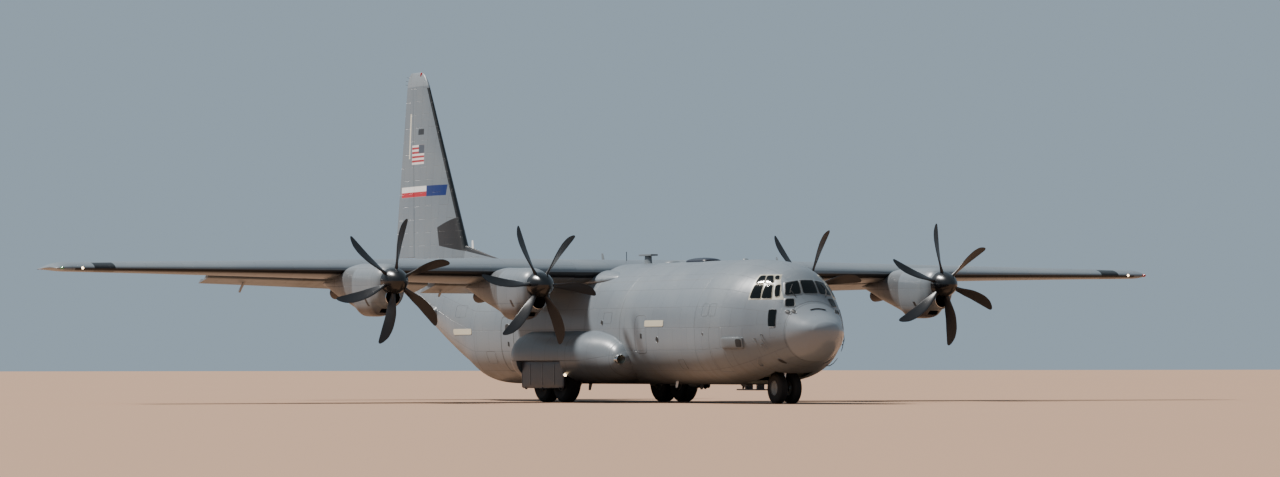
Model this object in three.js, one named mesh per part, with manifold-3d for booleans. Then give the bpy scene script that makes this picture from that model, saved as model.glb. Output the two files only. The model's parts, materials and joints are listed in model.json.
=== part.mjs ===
// Four-engined military transport plane, parked on its wheels, as a half-size model.
//
// Everything below is written in metres at full size: a station runs aft from the nose tip,
// y runs to port and z up from the ground. One group at the end scales it to the half-size
// model in millimetres, with +X towards the nose.

import * as THREE from 'three';
import { mergeVertices } from 'three/addons/utils/BufferGeometryUtils.js';
import Module from 'manifold-3d';

const wasm = await Module();
wasm.setup();
const { Manifold } = wasm;

// Driving sizes
const MODEL_SCALE = 0.5;
const LENGTH = 34.36;
const SLIVER = 0.00004;
const ROW_MARGIN = 0.015;
const HINGE_OFFSET = 0.001;
const SEAT = 0.0006; // gap between two pieces that touch
const RUNNING = 0.016; // gap round a piece that moves
const WALL = 0.10; // hull wall with its frames
const END_GAP = 0.04; // beyond the ends of a hinged surface
const FAR = 30; // beyond the whole plane, for cutting boxes

// Hull joints, as stations
const RADOME_JOINT = 0.95;
const NOSE_JOINT = 5.05;
const WING_JOINT = 13.2;
const WELL_JOINT = 18.66;
const RAMP_HINGE = 22.13;
const RAMP_END = 25.45;
const DOOR_END = 30.1;
const TAIL_BULKHEAD = 33.2;

// Rows: station, half width, top, bottom, height of the widest line, fullness of the belly
const HULL = [
  [0.00, 0.14, 2.43, 2.17, 2.30, 2.0],
  [0.06, 0.27, 2.50, 2.04, 2.30, 2.0],
  [0.15, 0.45, 2.57, 1.88, 2.30, 2.0],
  [0.32, 0.62, 2.68, 1.70, 2.29, 2.0],
  [0.60, 0.83, 2.85, 1.49, 2.28, 2.0],
  [0.95, 1.03, 3.15, 1.34, 2.27, 2.1],
  [1.15, 1.12, 3.38, 1.29, 2.27, 2.15],
  [1.50, 1.28, 3.86, 1.19, 2.28, 2.2],
  [2.05, 1.52, 4.26, 1.03, 2.28, 2.4],
  [2.70, 1.80, 4.44, 0.87, 2.33, 2.6],
  [3.60, 2.05, 4.54, 0.71, 2.40, 2.8],
  [5.05, 2.17, 4.60, 0.60, 2.44, 3.0],
  [22.13, 2.17, 4.60, 0.60, 2.44, 3.0],
  [23.80, 2.10, 4.64, 1.08, 2.75, 2.8],
  [25.45, 1.90, 4.68, 1.62, 3.05, 2.7],
  [27.20, 1.59, 4.74, 2.18, 3.38, 2.6],
  [28.75, 1.28, 4.79, 2.69, 3.66, 2.5],
  [30.60, 0.96, 4.85, 3.30, 4.02, 2.4],
  [32.20, 0.70, 4.92, 3.82, 4.32, 2.3],
  [33.60, 0.46, 4.99, 4.24, 4.58, 2.2],
  [34.20, 0.24, 5.00, 4.48, 4.72, 2.0],
  [34.36, 0.10, 4.86, 4.62, 4.74, 2.0],
];
const HULL_SIDES = 28;

// Rows: span, leading edge station, chord, height of the leading edge, thickness, incidence in degrees
const WING = [
  [0.00, 13.75, 4.88, 4.30, 0.180, 3.0],
  [5.59, 13.75, 4.88, 4.33, 0.172, 3.0],
  [19.80, 14.33, 2.54, 4.34, 0.122, 0.0],
  [20.12, 14.50, 2.20, 4.35, 0.090, 0.0],
  [20.205, 14.85, 1.50, 4.36, 0.040, 0.0],
];
const WING_BREAK = 5.59;
const TAILPLANE = [
  [0.00, 30.00, 3.20, 4.62, 0.13, 0],
  [7.75, 31.30, 1.36, 4.66, 0.11, 0],
  [7.97, 31.45, 1.10, 4.66, 0.08, 0],
  [8.025, 31.70, 0.70, 4.66, 0.04, 0],
];
// The fin is a foil stood on end: its span is a height and its height is a width
const FIN = [
  [4.30, 27.05, 7.05, 0, 0.115, 0],
  [5.10, 27.42, 6.54, 0, 0.115, 0],
  [11.35, 30.94, 1.92, 0, 0.120, 0],
  [11.72, 31.20, 1.52, 0, 0.100, 0],
  [11.84, 31.55, 0.90, 0, 0.050, 0],
];
const DORSAL = [
  [23.73, 4.40, 4.66, 0.06],
  [25.60, 4.40, 5.02, 0.26],
  [27.60, 4.50, 5.48, 0.36],
  [28.20, 4.50, 5.62, 0.30],
];
const DORSAL_TOP = 0.02;
const FOIL_STEPS = 10;
const RIB = { shares: [0.12, 0.88], half: 0.03, sides: 26 };

// Power plants
const PROP_STATION = 10.77;
const BLADES = 6;
const BLADE_SIDES = 6;
// Rows: name number, y, hub height, first blade angle in degrees
const ENGINES = [
  [1, 10.05, 3.93, 12],
  [2, 4.90, 3.83, 41],
  [3, -4.90, 3.83, 27],
  [4, -10.05, 3.93, 52],
];
const SHAFT_RADIUS = 0.12;
const ENGINE = { front: 0.85, length: 2.2, width: 0.62, height: 0.62 };
// Rows: distance aft of the propeller, half width, top and bottom from the hub, squareness
const NACELLE = [
  [0.20, 0.440, 0.450, -0.78, 2.2],
  [0.34, 0.500, 0.520, -0.84, 2.4],
  [0.68, 0.545, 0.570, -0.87, 2.5],
  [0.76, 0.550, 0.575, -1.09, 2.5],
  [1.40, 0.560, 0.580, -1.13, 2.6],
  [2.05, 0.570, 0.590, -1.12, 2.6],
  [2.40, 0.570, 0.600, -0.95, 2.6],
  [3.10, 0.560, 0.540, -0.74, 2.5],
  [3.90, 0.520, 0.380, -0.52, 2.4],
  [4.65, 0.440, 0.200, -0.28, 2.2],
  [5.35, 0.260, 0.050, -0.10, 2.0],
];
const MOUTH = { drop: 0.52, radius: 0.235, depth: 0.75 };
const COOLER = { front: 0.5, rear: 1.1, half: 0.17, low: -0.99, high: -0.88 };
// Rows: blade radius, chord, thickness, pitch in degrees, sweep towards the trailing edge
const BLADE = [
  [0.38, 0.16, 0.130, 66, 0.00],
  [0.62, 0.25, 0.075, 58, -0.01],
  [1.05, 0.36, 0.045, 46, -0.02],
  [1.45, 0.37, 0.028, 38, 0.02],
  [1.80, 0.30, 0.018, 32, 0.10],
  [2.055, 0.12, 0.010, 29, 0.22],
];

// Landing gear
const MAIN_WHEEL = { radius: 0.71, width: 0.51, rim: 0.30, y: 2.175, stations: [14.58, 16.10] };
const NOSE_WHEEL = { radius: 0.495, width: 0.30, rim: 0.22, y: 0.25, station: 3.02 };
const WELL = { front: 13.62, rear: 17.06, inner: 1.60, outer: 2.56, top: 2.02, sill: 1.38, skin: 0.03 };
const NOSE_WELL = { front: 2.30, rear: 4.30, half: 0.70, top: 1.78, skin: 0.03 };
// Rows: station, outer edge, top, bottom
const SPONSON = [
  [10.05, 2.44, 1.74, 1.08],
  [10.35, 2.50, 1.98, 0.90],
  [11.10, 2.66, 2.28, 0.72],
  [12.40, 2.90, 2.42, 0.64],
  [17.20, 2.90, 2.42, 0.64],
  [18.00, 2.66, 2.20, 0.80],
  [18.55, 2.30, 1.85, 1.05],
];

// Doors
const CREW_DOOR = { front: 3.38, rear: 4.20, bottom: 0.98, top: 2.45 };
const SIDE_DOOR = { front: 18.88, rear: 19.86, bottom: 1.04, top: 2.86 };
const RAMP = { pinZ: 0.65, pinY: 0.50, reach: 3.45, frontHalf: 1.50, rearHalf: 1.36 };
const AFT_DOOR = { pinZ: 3.26, pinY: 0.40, rearHalf: 0.55 };
const PIN = { radius: 0.018, lug: 0.03, ear: 0.04, half: 0.05, gap: 0.012, sides: 8 };
const FLOOR = { top: 1.03, thick: 0.08 };
const DECK = { top: 2.06, thick: 0.05 };

const paint = (color, roughness, metalness = 0) =>
  new THREE.MeshStandardMaterial({ color, roughness, metalness });
const GREY = paint(0x8d959b, 0.55);
const DARK = paint(0x4b555c, 0.6);
const BLACK = paint(0x17191b, 0.35);
const STEEL = paint(0xb4b8ba, 0.35, 0.8);
const TYRE = paint(0x1d1d1e, 0.85);
const WHITE = paint(0xd7d9d7, 0.5);
const GLASS = paint(0x1b262c, 0.08);
const FLOOR_PAINT = paint(0x5c6163, 0.7);

const group = new THREE.Group();
group.scale.setScalar(MODEL_SCALE * 1000);

const at = (station) => LENGTH / 2 - station;
const lerp = THREE.MathUtils.lerp;
const rad = THREE.MathUtils.degToRad;
const point = (station, y, z) => new THREE.Vector3(at(station), y, z);

// A closed geometry as a solid, with its faces turned out
function solid(geometry) {
  const bare = new THREE.BufferGeometry();
  bare.setAttribute('position', geometry.getAttribute('position'));
  if (geometry.index) bare.setIndex(geometry.index);
  const merged = mergeVertices(bare, 1e-5);
  const corners = merged.getAttribute('position').array;
  const faces = [];
  let volume = 0;
  for (let i = 0; i < merged.index.count; i += 3) {
    const [a, b, c] = [0, 1, 2].map((k) => merged.index.array[i + k]);
    if (a === b || b === c || c === a) continue;
    faces.push(a, b, c);
    const [p, q, r] = [a, b, c].map((k) => new THREE.Vector3().fromArray(corners, 3 * k));
    volume += p.dot(q.cross(r));
  }
  if (volume < 0) faces.reverse();
  return new Manifold(new wasm.Mesh({
    numProp: 3,
    vertProperties: new Float32Array(corners),
    triVerts: new Uint32Array(faces),
  }));
}

// The largest piece of a solid, without the slivers that a cut leaves loose or along an edge
function main(shape) {
  const pieces = shape.simplify(SLIVER).decompose();
  return pieces.reduce((best, piece) => (piece.volume() > best.volume() ? piece : best));
}

function add(name, shape, material, parent = group) {
  const { vertProperties, triVerts } = main(shape).getMesh();
  const geometry = new THREE.BufferGeometry();
  geometry.setAttribute('position', new THREE.BufferAttribute(new Float32Array(vertProperties), 3));
  geometry.setIndex(new THREE.BufferAttribute(new Uint32Array(triVerts), 1));
  const flat = geometry.toNonIndexed();
  flat.computeVertexNormals();
  const mesh = new THREE.Mesh(flat, material);
  mesh.name = name;
  parent.add(mesh);
}

const union = (...shapes) => shapes.reduce((sum, shape) => sum.add(shape));
const moved = (shape, forward, left, up) => shape.translate([forward, left, up]);

// A solid with a thin layer all round
function grown(shape, gap) {
  const steps = [[gap, 0, 0], [-gap, 0, 0], [0, gap, 0], [0, -gap, 0], [0, 0, gap], [0, 0, -gap]];
  return union(...steps.map((step) => shape.translate(step)));
}

// A solid without a thin layer all round
function shrunk(shape, skin) {
  const steps = [[skin, 0, 0], [-skin, 0, 0], [0, skin, 0], [0, -skin, 0], [0, 0, skin], [0, 0, -skin]];
  return steps.reduce((rest, step) => rest.intersect(shape.translate(step)), shape);
}

// A skin through rings of equal length, closed by a flat cap at each end
function loft(rings) {
  const around = rings[0].length;
  const corners = rings.flat();
  const faces = [];
  for (let row = 0; row + 1 < rings.length; row += 1) {
    for (let k = 0; k < around; k += 1) {
      const [a, b] = [row * around + k, row * around + ((k + 1) % around)];
      faces.push(a, b, b + around, a, b + around, a + around);
    }
  }
  const flatten = (ring) => {
    const spread = ['x', 'y', 'z'].map((axis) => {
      const values = ring.map((p) => p[axis]);
      return [axis, Math.max(...values) - Math.min(...values)];
    });
    const [u, v] = spread.sort((p, q) => q[1] - p[1]).slice(0, 2).map((entry) => entry[0]);
    return ring.map((p) => new THREE.Vector2(p[u], p[v]));
  };
  const area = (ring, triangles) => {
    const total = new THREE.Vector3();
    for (const [a, b, c] of triangles) {
      total.add(ring[b].clone().sub(ring[a]).cross(ring[c].clone().sub(ring[a])));
    }
    return total;
  };
  for (const [ring, offset] of [[rings[0], 0], [rings.at(-1), corners.length - around]]) {
    const triangles = THREE.ShapeUtils.triangulateShape(flatten(ring), []);
    const outline = ring.map((p, k) => [0, k, (k + 1) % around]).slice(1, -1);
    const turned = area(ring, triangles).dot(area(ring, outline)) < 0;
    for (const [a, b, c] of triangles) {
      const cap = (offset > 0) !== turned ? [a, b, c] : [c, b, a];
      faces.push(...cap.map((k) => k + offset));
    }
  }
  const geometry = new THREE.BufferGeometry().setFromPoints(corners);
  geometry.setIndex(faces);
  return solid(geometry);
}

// A box between two stations, two widths and two heights
function box(stations, widths, heights) {
  const size = [stations, widths, heights].map(([low, high]) => high - low);
  const [station, y, z] = [stations, widths, heights].map(([low, high]) => (low + high) / 2);
  const shape = new THREE.BoxGeometry(...size);
  shape.translate(at(station), y, z);
  return solid(shape);
}

// An outline of [station, height] points, run across from one y to the other
function sidePrism(outline, low, high) {
  const shape = new THREE.Shape(outline.map(([station, z]) => new THREE.Vector2(at(station), z)));
  const geometry = new THREE.ExtrudeGeometry(shape, { depth: high - low, bevelEnabled: false });
  geometry.rotateX(Math.PI / 2);
  geometry.translate(0, high, 0);
  return solid(geometry);
}

// An outline of [station, y] points, run up from one height to the other
function planPrism(outline, low, high) {
  const shape = new THREE.Shape(outline.map(([station, y]) => new THREE.Vector2(at(station), y)));
  const geometry = new THREE.ExtrudeGeometry(shape, { depth: high - low, bevelEnabled: false });
  geometry.translate(0, 0, low);
  return solid(geometry);
}

// An outline of [y, z] points, run aft from one station to the other
function frontPrism(outline, front, rear) {
  const rings = [front, rear].map((station) => outline.map(([y, z]) => point(station, y, z)));
  return loft(rings);
}

// A round bar from one point to another, tapered when a second radius is given
function rod(from, to, radius, endRadius = radius, sides = 12) {
  const along = to.clone().sub(from);
  const geometry = new THREE.CylinderGeometry(endRadius, radius, along.length(), sides);
  geometry.applyQuaternion(
    new THREE.Quaternion().setFromUnitVectors(new THREE.Vector3(0, 1, 0), along.clone().normalize()),
  );
  geometry.translate(...from.clone().lerp(to, 0.5).toArray());
  return solid(geometry);
}

// A profile of [radius, y] points turned about a line along y
function turned(profile, station, y, z, sides) {
  const geometry = new THREE.LatheGeometry(profile.map(([r, side]) => new THREE.Vector2(r, side)), sides);
  geometry.translate(at(station), y, z);
  return solid(geometry);
}

// Hull

// The columns of a table at any value of its first column
function row(table, value) {
  const last = table.findIndex((entry) => entry[0] >= value);
  if (last <= 0) return table[last < 0 ? table.length - 1 : 0];
  const [low, high] = [table[last - 1], table[last]];
  const share = (value - low[0]) / (high[0] - low[0]);
  return low.map((entry, k) => lerp(entry, high[k], share));
}

// The first column of the rows well between two of its values
const inside = (table, low, high) => table.map(([value]) => value)
  .filter((value) => value > low + ROW_MARGIN && value < high - ROW_MARGIN);

// A section: round above its widest line, fuller below
function hullRing(station, inset) {
  const [, half, top, bottom, middle, fullness] = row(HULL, station);
  const ring = [];
  for (let k = 0; k < HULL_SIDES; k += 1) {
    const turn = (2 * Math.PI * (k + 0.5)) / HULL_SIDES;
    const [side, up] = [Math.sin(turn), Math.cos(turn)];
    const power = up > 0 ? 1 : 2 / fullness;
    const reach = up > 0 ? top - inset - middle : middle - bottom - inset;
    ring.push(point(
      station,
      (half - inset) * Math.sign(side) * Math.abs(side) ** power,
      middle + reach * Math.sign(up) * Math.abs(up) ** power,
    ));
  }
  return ring;
}

function hull(front, rear, inset = 0) {
  const between = inside(HULL, front, rear);
  return loft([front, ...between, rear].map((station) => hullRing(station, inset)));
}

const HULL_SOLID = hull(0, LENGTH);
const HULL_INSIDE = hull(RADOME_JOINT + WALL, TAIL_BULKHEAD, WALL);
const shell = (front, rear) => hull(front + SEAT / 2, rear - SEAT / 2).subtract(HULL_INSIDE);
const wallOf = (shape) => shape.intersect(HULL_SOLID).subtract(HULL_INSIDE);

// A box-shaped well let into the hull, as the walls to add and the space to cut
function well(stations, widths, heights, skin) {
  const wide = ([low, high]) => [low - skin, high + skin];
  return {
    walls: box(wide(stations), wide(widths), [heights[0], heights[1] + skin]).intersect(HULL_SOLID),
    space: box(stations, widths, [-1, heights[1]]),
  };
}

const noseWell = well(
  [NOSE_WELL.front, NOSE_WELL.rear], [-NOSE_WELL.half, NOSE_WELL.half], [0, NOSE_WELL.top], NOSE_WELL.skin,
);

// Cockpit windows

// The window band in side view, and the panes in it; a pane is cut straight through
const BAND = [[0.80, 3.26], [2.64, 3.26], [2.80, 4.10], [0.80, 4.10]];
// Each side pane as [station, height] corners
const SIDE_PANES = [
  [[2.47, 3.32], [2.53, 3.73], [2.26, 3.73], [2.11, 3.32]],
  [[2.05, 3.32], [2.15, 3.72], [1.93, 3.72], [1.73, 3.32]],
  [[1.63, 3.36], [1.83, 3.71], [1.73, 3.74], [1.53, 3.39]],
  [[2.56, 3.81], [2.61, 4.03], [2.43, 4.03], [2.28, 3.81]],
  [[2.21, 3.81], [2.37, 4.03], [2.19, 4.03], [1.98, 3.82]],
];
// Each front pane as [y, height] corners, repeated on the other side where it is off the middle
const FRONT_PANES = [
  [[-0.25, 3.48], [0.25, 3.48], [0.23, 3.87], [-0.23, 3.87]],
  [[0.33, 3.47], [0.80, 3.42], [0.67, 3.79], [0.29, 3.86]],
];
const FRAME_DEPTH = 0.045;
const GLASS_DEPTH = 0.025;

const FACE = [HULL[4][0], HULL[10][0]]; // stations of whole sections before and behind the windows
const layer = (outer, inner) => hull(...FACE, outer).subtract(hull(...FACE, inner));
const bandPrism = (inset) => {
  const [low, lowRear, highRear, high] = BAND;
  return sidePrism([
    [low[0], low[1] + inset], [lowRear[0] - inset, lowRear[1] + inset],
    [highRear[0] - inset, highRear[1] - inset], [high[0], high[1] - inset],
  ], -3, 3);
};
const middlePane = FRONT_PANES[0];
const mirrored = (outline) => outline.map(([y, z]) => [-y, z]);

function paneCuts() {
  const cuts = SIDE_PANES.flatMap((pane) => [sidePrism(pane, 0.7, 3), sidePrism(pane, -3, -0.7)]);
  const fronts = [middlePane, FRONT_PANES[1], mirrored(FRONT_PANES[1])];
  return union(...cuts, ...fronts.map((pane) => frontPrism(pane, 0.4, 2.7)));
}

// Low corner windows beside the pilots' feet
const CORNER_WINDOW = [[1.33, 2.42], [1.58, 2.42], [1.66, 2.96], [1.41, 2.96]];

function addNose() {
  const corner = (side, inset) => {
    const outline = CORNER_WINDOW.map(([station, z], k) => [
      station + (k === 0 || k === 3 ? inset : -inset), z + (k < 2 ? inset : -inset),
    ]);
    return sidePrism(outline, side > 0 ? 0.8 : -2, side > 0 ? 2 : -0.8);
  };
  add('radome', hull(0, RADOME_JOINT - SEAT / 2), GREY);
  const opening = bandPrism(0).subtract(hull(...FACE, WALL + 0.01));
  const door = crewDoorBox(RUNNING);
  const nose = shell(RADOME_JOINT, NOSE_JOINT).add(noseWell.walls).subtract(noseWell.space)
    .subtract(opening).subtract(corner(1, 0)).subtract(corner(-1, 0)).subtract(door);
  add('nose_section', nose, GREY);
  const frame = layer(0, FRAME_DEPTH).intersect(bandPrism(SEAT)).subtract(paneCuts());
  add('cockpit_window_frame', frame, GREY);
  const glass = layer(FRAME_DEPTH + SEAT, FRAME_DEPTH + SEAT + GLASS_DEPTH).intersect(bandPrism(SEAT));
  add('cockpit_glass', glass, GLASS);
  for (const [name, side] of [['left', 1], ['right', -1]]) {
    const pane = layer(0.02, 0.06).intersect(corner(side, SEAT));
    add(`corner_glass_${name}`, pane, GLASS);
  }
  add('crew_door', wallOf(crewDoorBox(0)), GREY);
}

function crewDoorBox(gap) {
  const { front, rear, bottom, top } = CREW_DOOR;
  return box([front - 4 * gap, rear + gap], [1.0, 3], [bottom - 2 * gap, top + gap]);
}

// Flight deck with two seats and the instrument panel, on one floor

function addFlightDeck() {
  const room = hull(RADOME_JOINT, NOSE_JOINT, WALL + SEAT);
  const parts = [box([1.30, 4.60], [-3, 3], [DECK.top - DECK.thick, DECK.top])];
  for (const y of [-0.62, 0.62]) {
    parts.push(box([2.35, 2.85], [y - 0.25, y + 0.25], [DECK.top - 0.01, 2.50]));
    parts.push(sidePrism([[2.78, 2.40], [2.90, 2.40], [3.02, 3.45], [2.88, 3.45]], y - 0.24, y + 0.24));
  }
  parts.push(box([1.62, 1.80], [-1.0, 1.0], [DECK.top - 0.01, 3.10]));
  parts.push(box([1.75, 2.60], [-0.22, 0.22], [DECK.top - 0.01, 2.62]));
  parts.push(box([4.52, 4.60], [-3, 3], [DECK.top - 0.01, 4.6]));
  add('flight_deck', union(...parts).intersect(room), FLOOR_PAINT);
}

// Foils

const camberLine = (u, camber) => (u < 0.4
  ? (camber / 0.16) * (0.8 * u - u * u)
  : (camber / 0.36) * (0.2 + 0.8 * u - u * u));
const halfThickness = (u, thickness) => 5 * thickness
  * (0.2969 * Math.sqrt(u) - 0.126 * u - 0.3516 * u * u + 0.2843 * u ** 3 - 0.1006 * u ** 4);

// A foil from a table of sections, with what its hinged pieces need
class Foil {
  constructor(table, camber) {
    this.table = table;
    this.camber = camber;
  }

  // A point at a share of the chord, on the upper (1) or lower (-1) skin or between them (0)
  place(span, u, side) {
    const [, edge, chord, height, thickness, incidence] = row(this.table, span);
    const up = chord * (camberLine(u, this.camber) + side * halfThickness(u, thickness));
    const [c, s] = [Math.cos(rad(incidence)), Math.sin(rad(incidence))];
    return point(edge + u * chord * c + up * s, span, height + up * c - u * chord * s);
  }

  ring(span) {
    const upper = [];
    const lower = [];
    for (let k = 0; k <= FOIL_STEPS; k += 1) {
      const u = (1 - Math.cos((Math.PI * k) / FOIL_STEPS)) / 2;
      upper.push(this.place(span, u, 1));
      if (k > 0) lower.push(this.place(span, u, -1));
    }
    return [...upper.reverse(), ...lower];
  }

  solid(low, high) {
    const between = inside(this.table, low, high);
    return loft([low, ...between, high].map((span) => this.ring(span)));
  }

  halfDepth(span, u) {
    return this.place(span, u, 1).distanceTo(this.place(span, u, -1)) / 2;
  }

  // All behind a line at one share of the chord, in plan
  behind(low, high, u) {
    const [a, b] = [this.place(low, u, 0), this.place(high, u, 0)];
    const slope = (b.x - a.x) / (high - low);
    const ends = [low, high].map((span) => [LENGTH / 2 - (a.x + slope * (span - low)), span]);
    return planPrism([...ends, [ends[1][0] + FAR, high], [ends[0][0] + FAR, low]], -FAR, FAR);
  }

  // The round nose of a hinged piece, or with a wider gap the cove it turns in
  nose(low, high, u, extra, sides = 12, flats = 1) {
    const [a, b] = [low, high].map((span) => [
      this.place(span, u, 0), (0.97 * this.halfDepth(span, u) + extra) / flats,
    ]);
    return rod(a[0], b[0], a[1], b[1], sides);
  }

  // A plain hinged surface and the space it needs, less the ribs in the cove that carry its nose.
  // The fixed skin ends ahead of the hinge by a lip, a share of the chord, so that the piece can turn.
  surface([low, high], u, lip) {
    const piece = this.solid(low, high).intersect(this.behind(low, high, u + HINGE_OFFSET))
      .add(this.nose(low, high, u, 0));
    const [inner, outer] = [low - END_GAP, high + END_GAP];
    const cove = this.behind(inner, outer, u - lip).add(this.nose(inner, outer, u, RUNNING));
    const bore = this.nose(low, high, u, SEAT, RIB.sides, Math.cos(Math.PI / RIB.sides));
    const ribs = RIB.shares.map((share) => {
      const span = lerp(low, high, share);
      const station = LENGTH / 2 - this.place(span, u, 0).x;
      const { z } = this.place(span, u, 0);
      const depth = this.halfDepth(span, u);
      const heights = [z - depth / 2, z + depth / 2];
      return box([station - 2 * depth, station - depth / 3], [span - RIB.half, span + RIB.half], heights);
    });
    return { piece, space: cove.subtract(union(...ribs).subtract(bore)) };
  }
}

const wing = new Foil(WING, 0.022);
const tailplane = new Foil(TAILPLANE, 0);
const fin = new Foil(FIN, 0);

// Flaps: each runs aft and down on two curved tracks, whose centre is a far hinge below the wing
const FLAP = {
  nose: 0.765, shroud: 0.885, lip: 0.035, top: 0.115, ahead: 0.10, below: 2.3, rest: 15, endGap: 0.08,
};
const FLAP_SPANS = { inner: [2.30, 5.50], outer: [5.70, 13.85] };
const TRACK = { low: 2.235, high: 2.285, half: 0.03, first: -7.5, last: 42.5, step: 5, shares: [0.18, 0.82] };
const ROLLER = { radius: 0.025, half: 0.07, angle: 5, slot: 0.05, head: 0.02 };
const AILERON = { span: [14.03, 19.45], chord: 0.75, lip: 0.004 };
const ELEVATOR = { span: [0.95, 7.60], chord: 0.64, lip: 0.025 };
const RUDDER = { span: [5.14, 11.30], chord: 0.66, lip: 0.024 };
const FIN_SKIN = 0.05; // the fin is hollow from its foot up to the rudder's spar
const FIN_CORE = 0.56;

function flapHinge(low, high) {
  return [low, high].map((span) => wing.place(span, FLAP.nose, 0)
    .add(new THREE.Vector3(FLAP.ahead, 0, -FLAP.below)));
}

// Turns a solid about a line through two points
function turnedAbout(shape, [from, to], degrees) {
  const axis = to.clone().sub(from).normalize();
  const matrix = new THREE.Matrix4().makeTranslation(...from.toArray())
    .multiply(new THREE.Matrix4().makeRotationAxis(axis, rad(degrees)))
    .multiply(new THREE.Matrix4().makeTranslation(...from.clone().negate().toArray()));
  return shape.transform(matrix.elements);
}

// A solid drawn about the y axis, set on a hinge line at a share of its length
function onHinge(shape, [from, to], share) {
  const along = to.clone().sub(from).normalize();
  const turn = new THREE.Quaternion().setFromUnitVectors(new THREE.Vector3(0, 1, 0), along);
  const place = from.clone().lerp(to, share);
  return shape.transform(new THREE.Matrix4().makeRotationFromQuaternion(turn).setPosition(place).elements);
}

// Points on an arc about the y axis, from straight up round to the rear
const arc = (radius, from, to) => {
  const count = Math.round(Math.abs(to - from) / TRACK.step);
  return Array.from({ length: count + 1 }, (_, k) => {
    const turn = rad(lerp(from, to, k / count));
    return [LENGTH / 2 + radius * Math.sin(turn), radius * Math.cos(turn)];
  });
};
const tracks = (low, high) => {
  const { low: under, high: over, half, first, last, step } = TRACK;
  const edge = under / Math.cos(rad(step / 2));
  const bar = sidePrism([...arc(edge, first, last), ...arc(over, last, first)], -half, half);
  return union(...TRACK.shares.map((share) => onHinge(bar, flapHinge(low, high), share)));
};

// The flap runs on a roller under each track, in a slot open at its nose
function onTracks(flap, low, high) {
  const over = TRACK.high + ROLLER.head;
  const slot = sidePrism([...arc(over, -20, 35), ...arc(1, 35, -20)], -ROLLER.slot, ROLLER.slot);
  const [[station, z]] = arc(TRACK.low - SEAT - ROLLER.radius, ROLLER.angle, ROLLER.angle + TRACK.step);
  const roller = rod(point(station, -ROLLER.half, z), point(station, ROLLER.half, z), ROLLER.radius);
  const line = flapHinge(low, high);
  return TRACK.shares.reduce(
    (shape, share) => shape.subtract(onHinge(slot, line, share)).add(onHinge(roller, line, share)), flap,
  );
}

function makeFlap(low, high) {
  const whole = wing.solid(low, high);
  const behind = (u) => wing.behind(low - 0.2, high + 0.2, u);
  const upper = whole.subtract(moved(whole, 0, 0, -FLAP.top));
  const overhang = upper.subtract(behind(FLAP.shroud + 0.02));
  const [a, b] = [low, high].map((span) => {
    const top = wing.place(span, FLAP.nose, 1);
    const bottom = wing.place(span, FLAP.nose, -1);
    const radius = (top.z - FLAP.top - bottom.z) / 2;
    return { centre: new THREE.Vector3(bottom.x, span, bottom.z + radius), radius: 0.97 * radius };
  });
  const nose = rod(a.centre, b.centre, a.radius, b.radius, 12);
  const folded = whole.intersect(behind(FLAP.nose)).subtract(overhang).add(nose);
  return turnedAbout(onTracks(folded, low, high), flapHinge(low, high), -FLAP.rest);
}

// What a flap's bay takes out of the wing: all behind the rear spar but the thin shroud on top
function flapBay(low, high) {
  const gap = FLAP.endGap;
  const whole = wing.solid(low - gap, high + gap);
  const shroud = whole.subtract(moved(whole, 0, 0, -FLAP.lip))
    .subtract(wing.behind(low - 0.2, high + 0.2, FLAP.shroud));
  return wing.behind(low - gap, high + gap, FLAP.nose - 0.045).subtract(shroud);
}

const mirrorY = (shape) => shape.mirror([0, 1, 0]);
const SIDES = [['left', (shape) => shape], ['right', mirrorY]];

function addWing() {
  const aileron = wing.surface(AILERON.span, AILERON.chord, AILERON.lip);
  const innerBay = flapBay(...FLAP_SPANS.inner);
  const root = wing.solid(0, WING_BREAK - SEAT / 2).subtract(innerBay).add(tracks(...FLAP_SPANS.inner));
  const outer = wing.solid(WING_BREAK + SEAT / 2, WING.at(-1)[0])
    .subtract(flapBay(...FLAP_SPANS.outer)).subtract(aileron.space).add(tracks(...FLAP_SPANS.outer));
  add('wing_centre', root.add(mirrorY(root)), GREY);
  for (const [name, side] of SIDES) {
    add(`wing_outer_${name}`, side(outer), GREY);
    add(`aileron_${name}`, side(aileron.piece), GREY);
    add(`flap_inner_${name}`, side(makeFlap(...FLAP_SPANS.inner)), GREY);
    add(`flap_outer_${name}`, side(makeFlap(...FLAP_SPANS.outer)), GREY);
  }
}

// The room that a foil and its mirror image take
function bothSides(foil) {
  const room = grown(foil.solid(0, foil.table.at(-1)[0]), SEAT);
  return room.add(mirrorY(room));
}

const wingCut = bothSides(wing);
const tailplaneCut = bothSides(tailplane);

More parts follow.
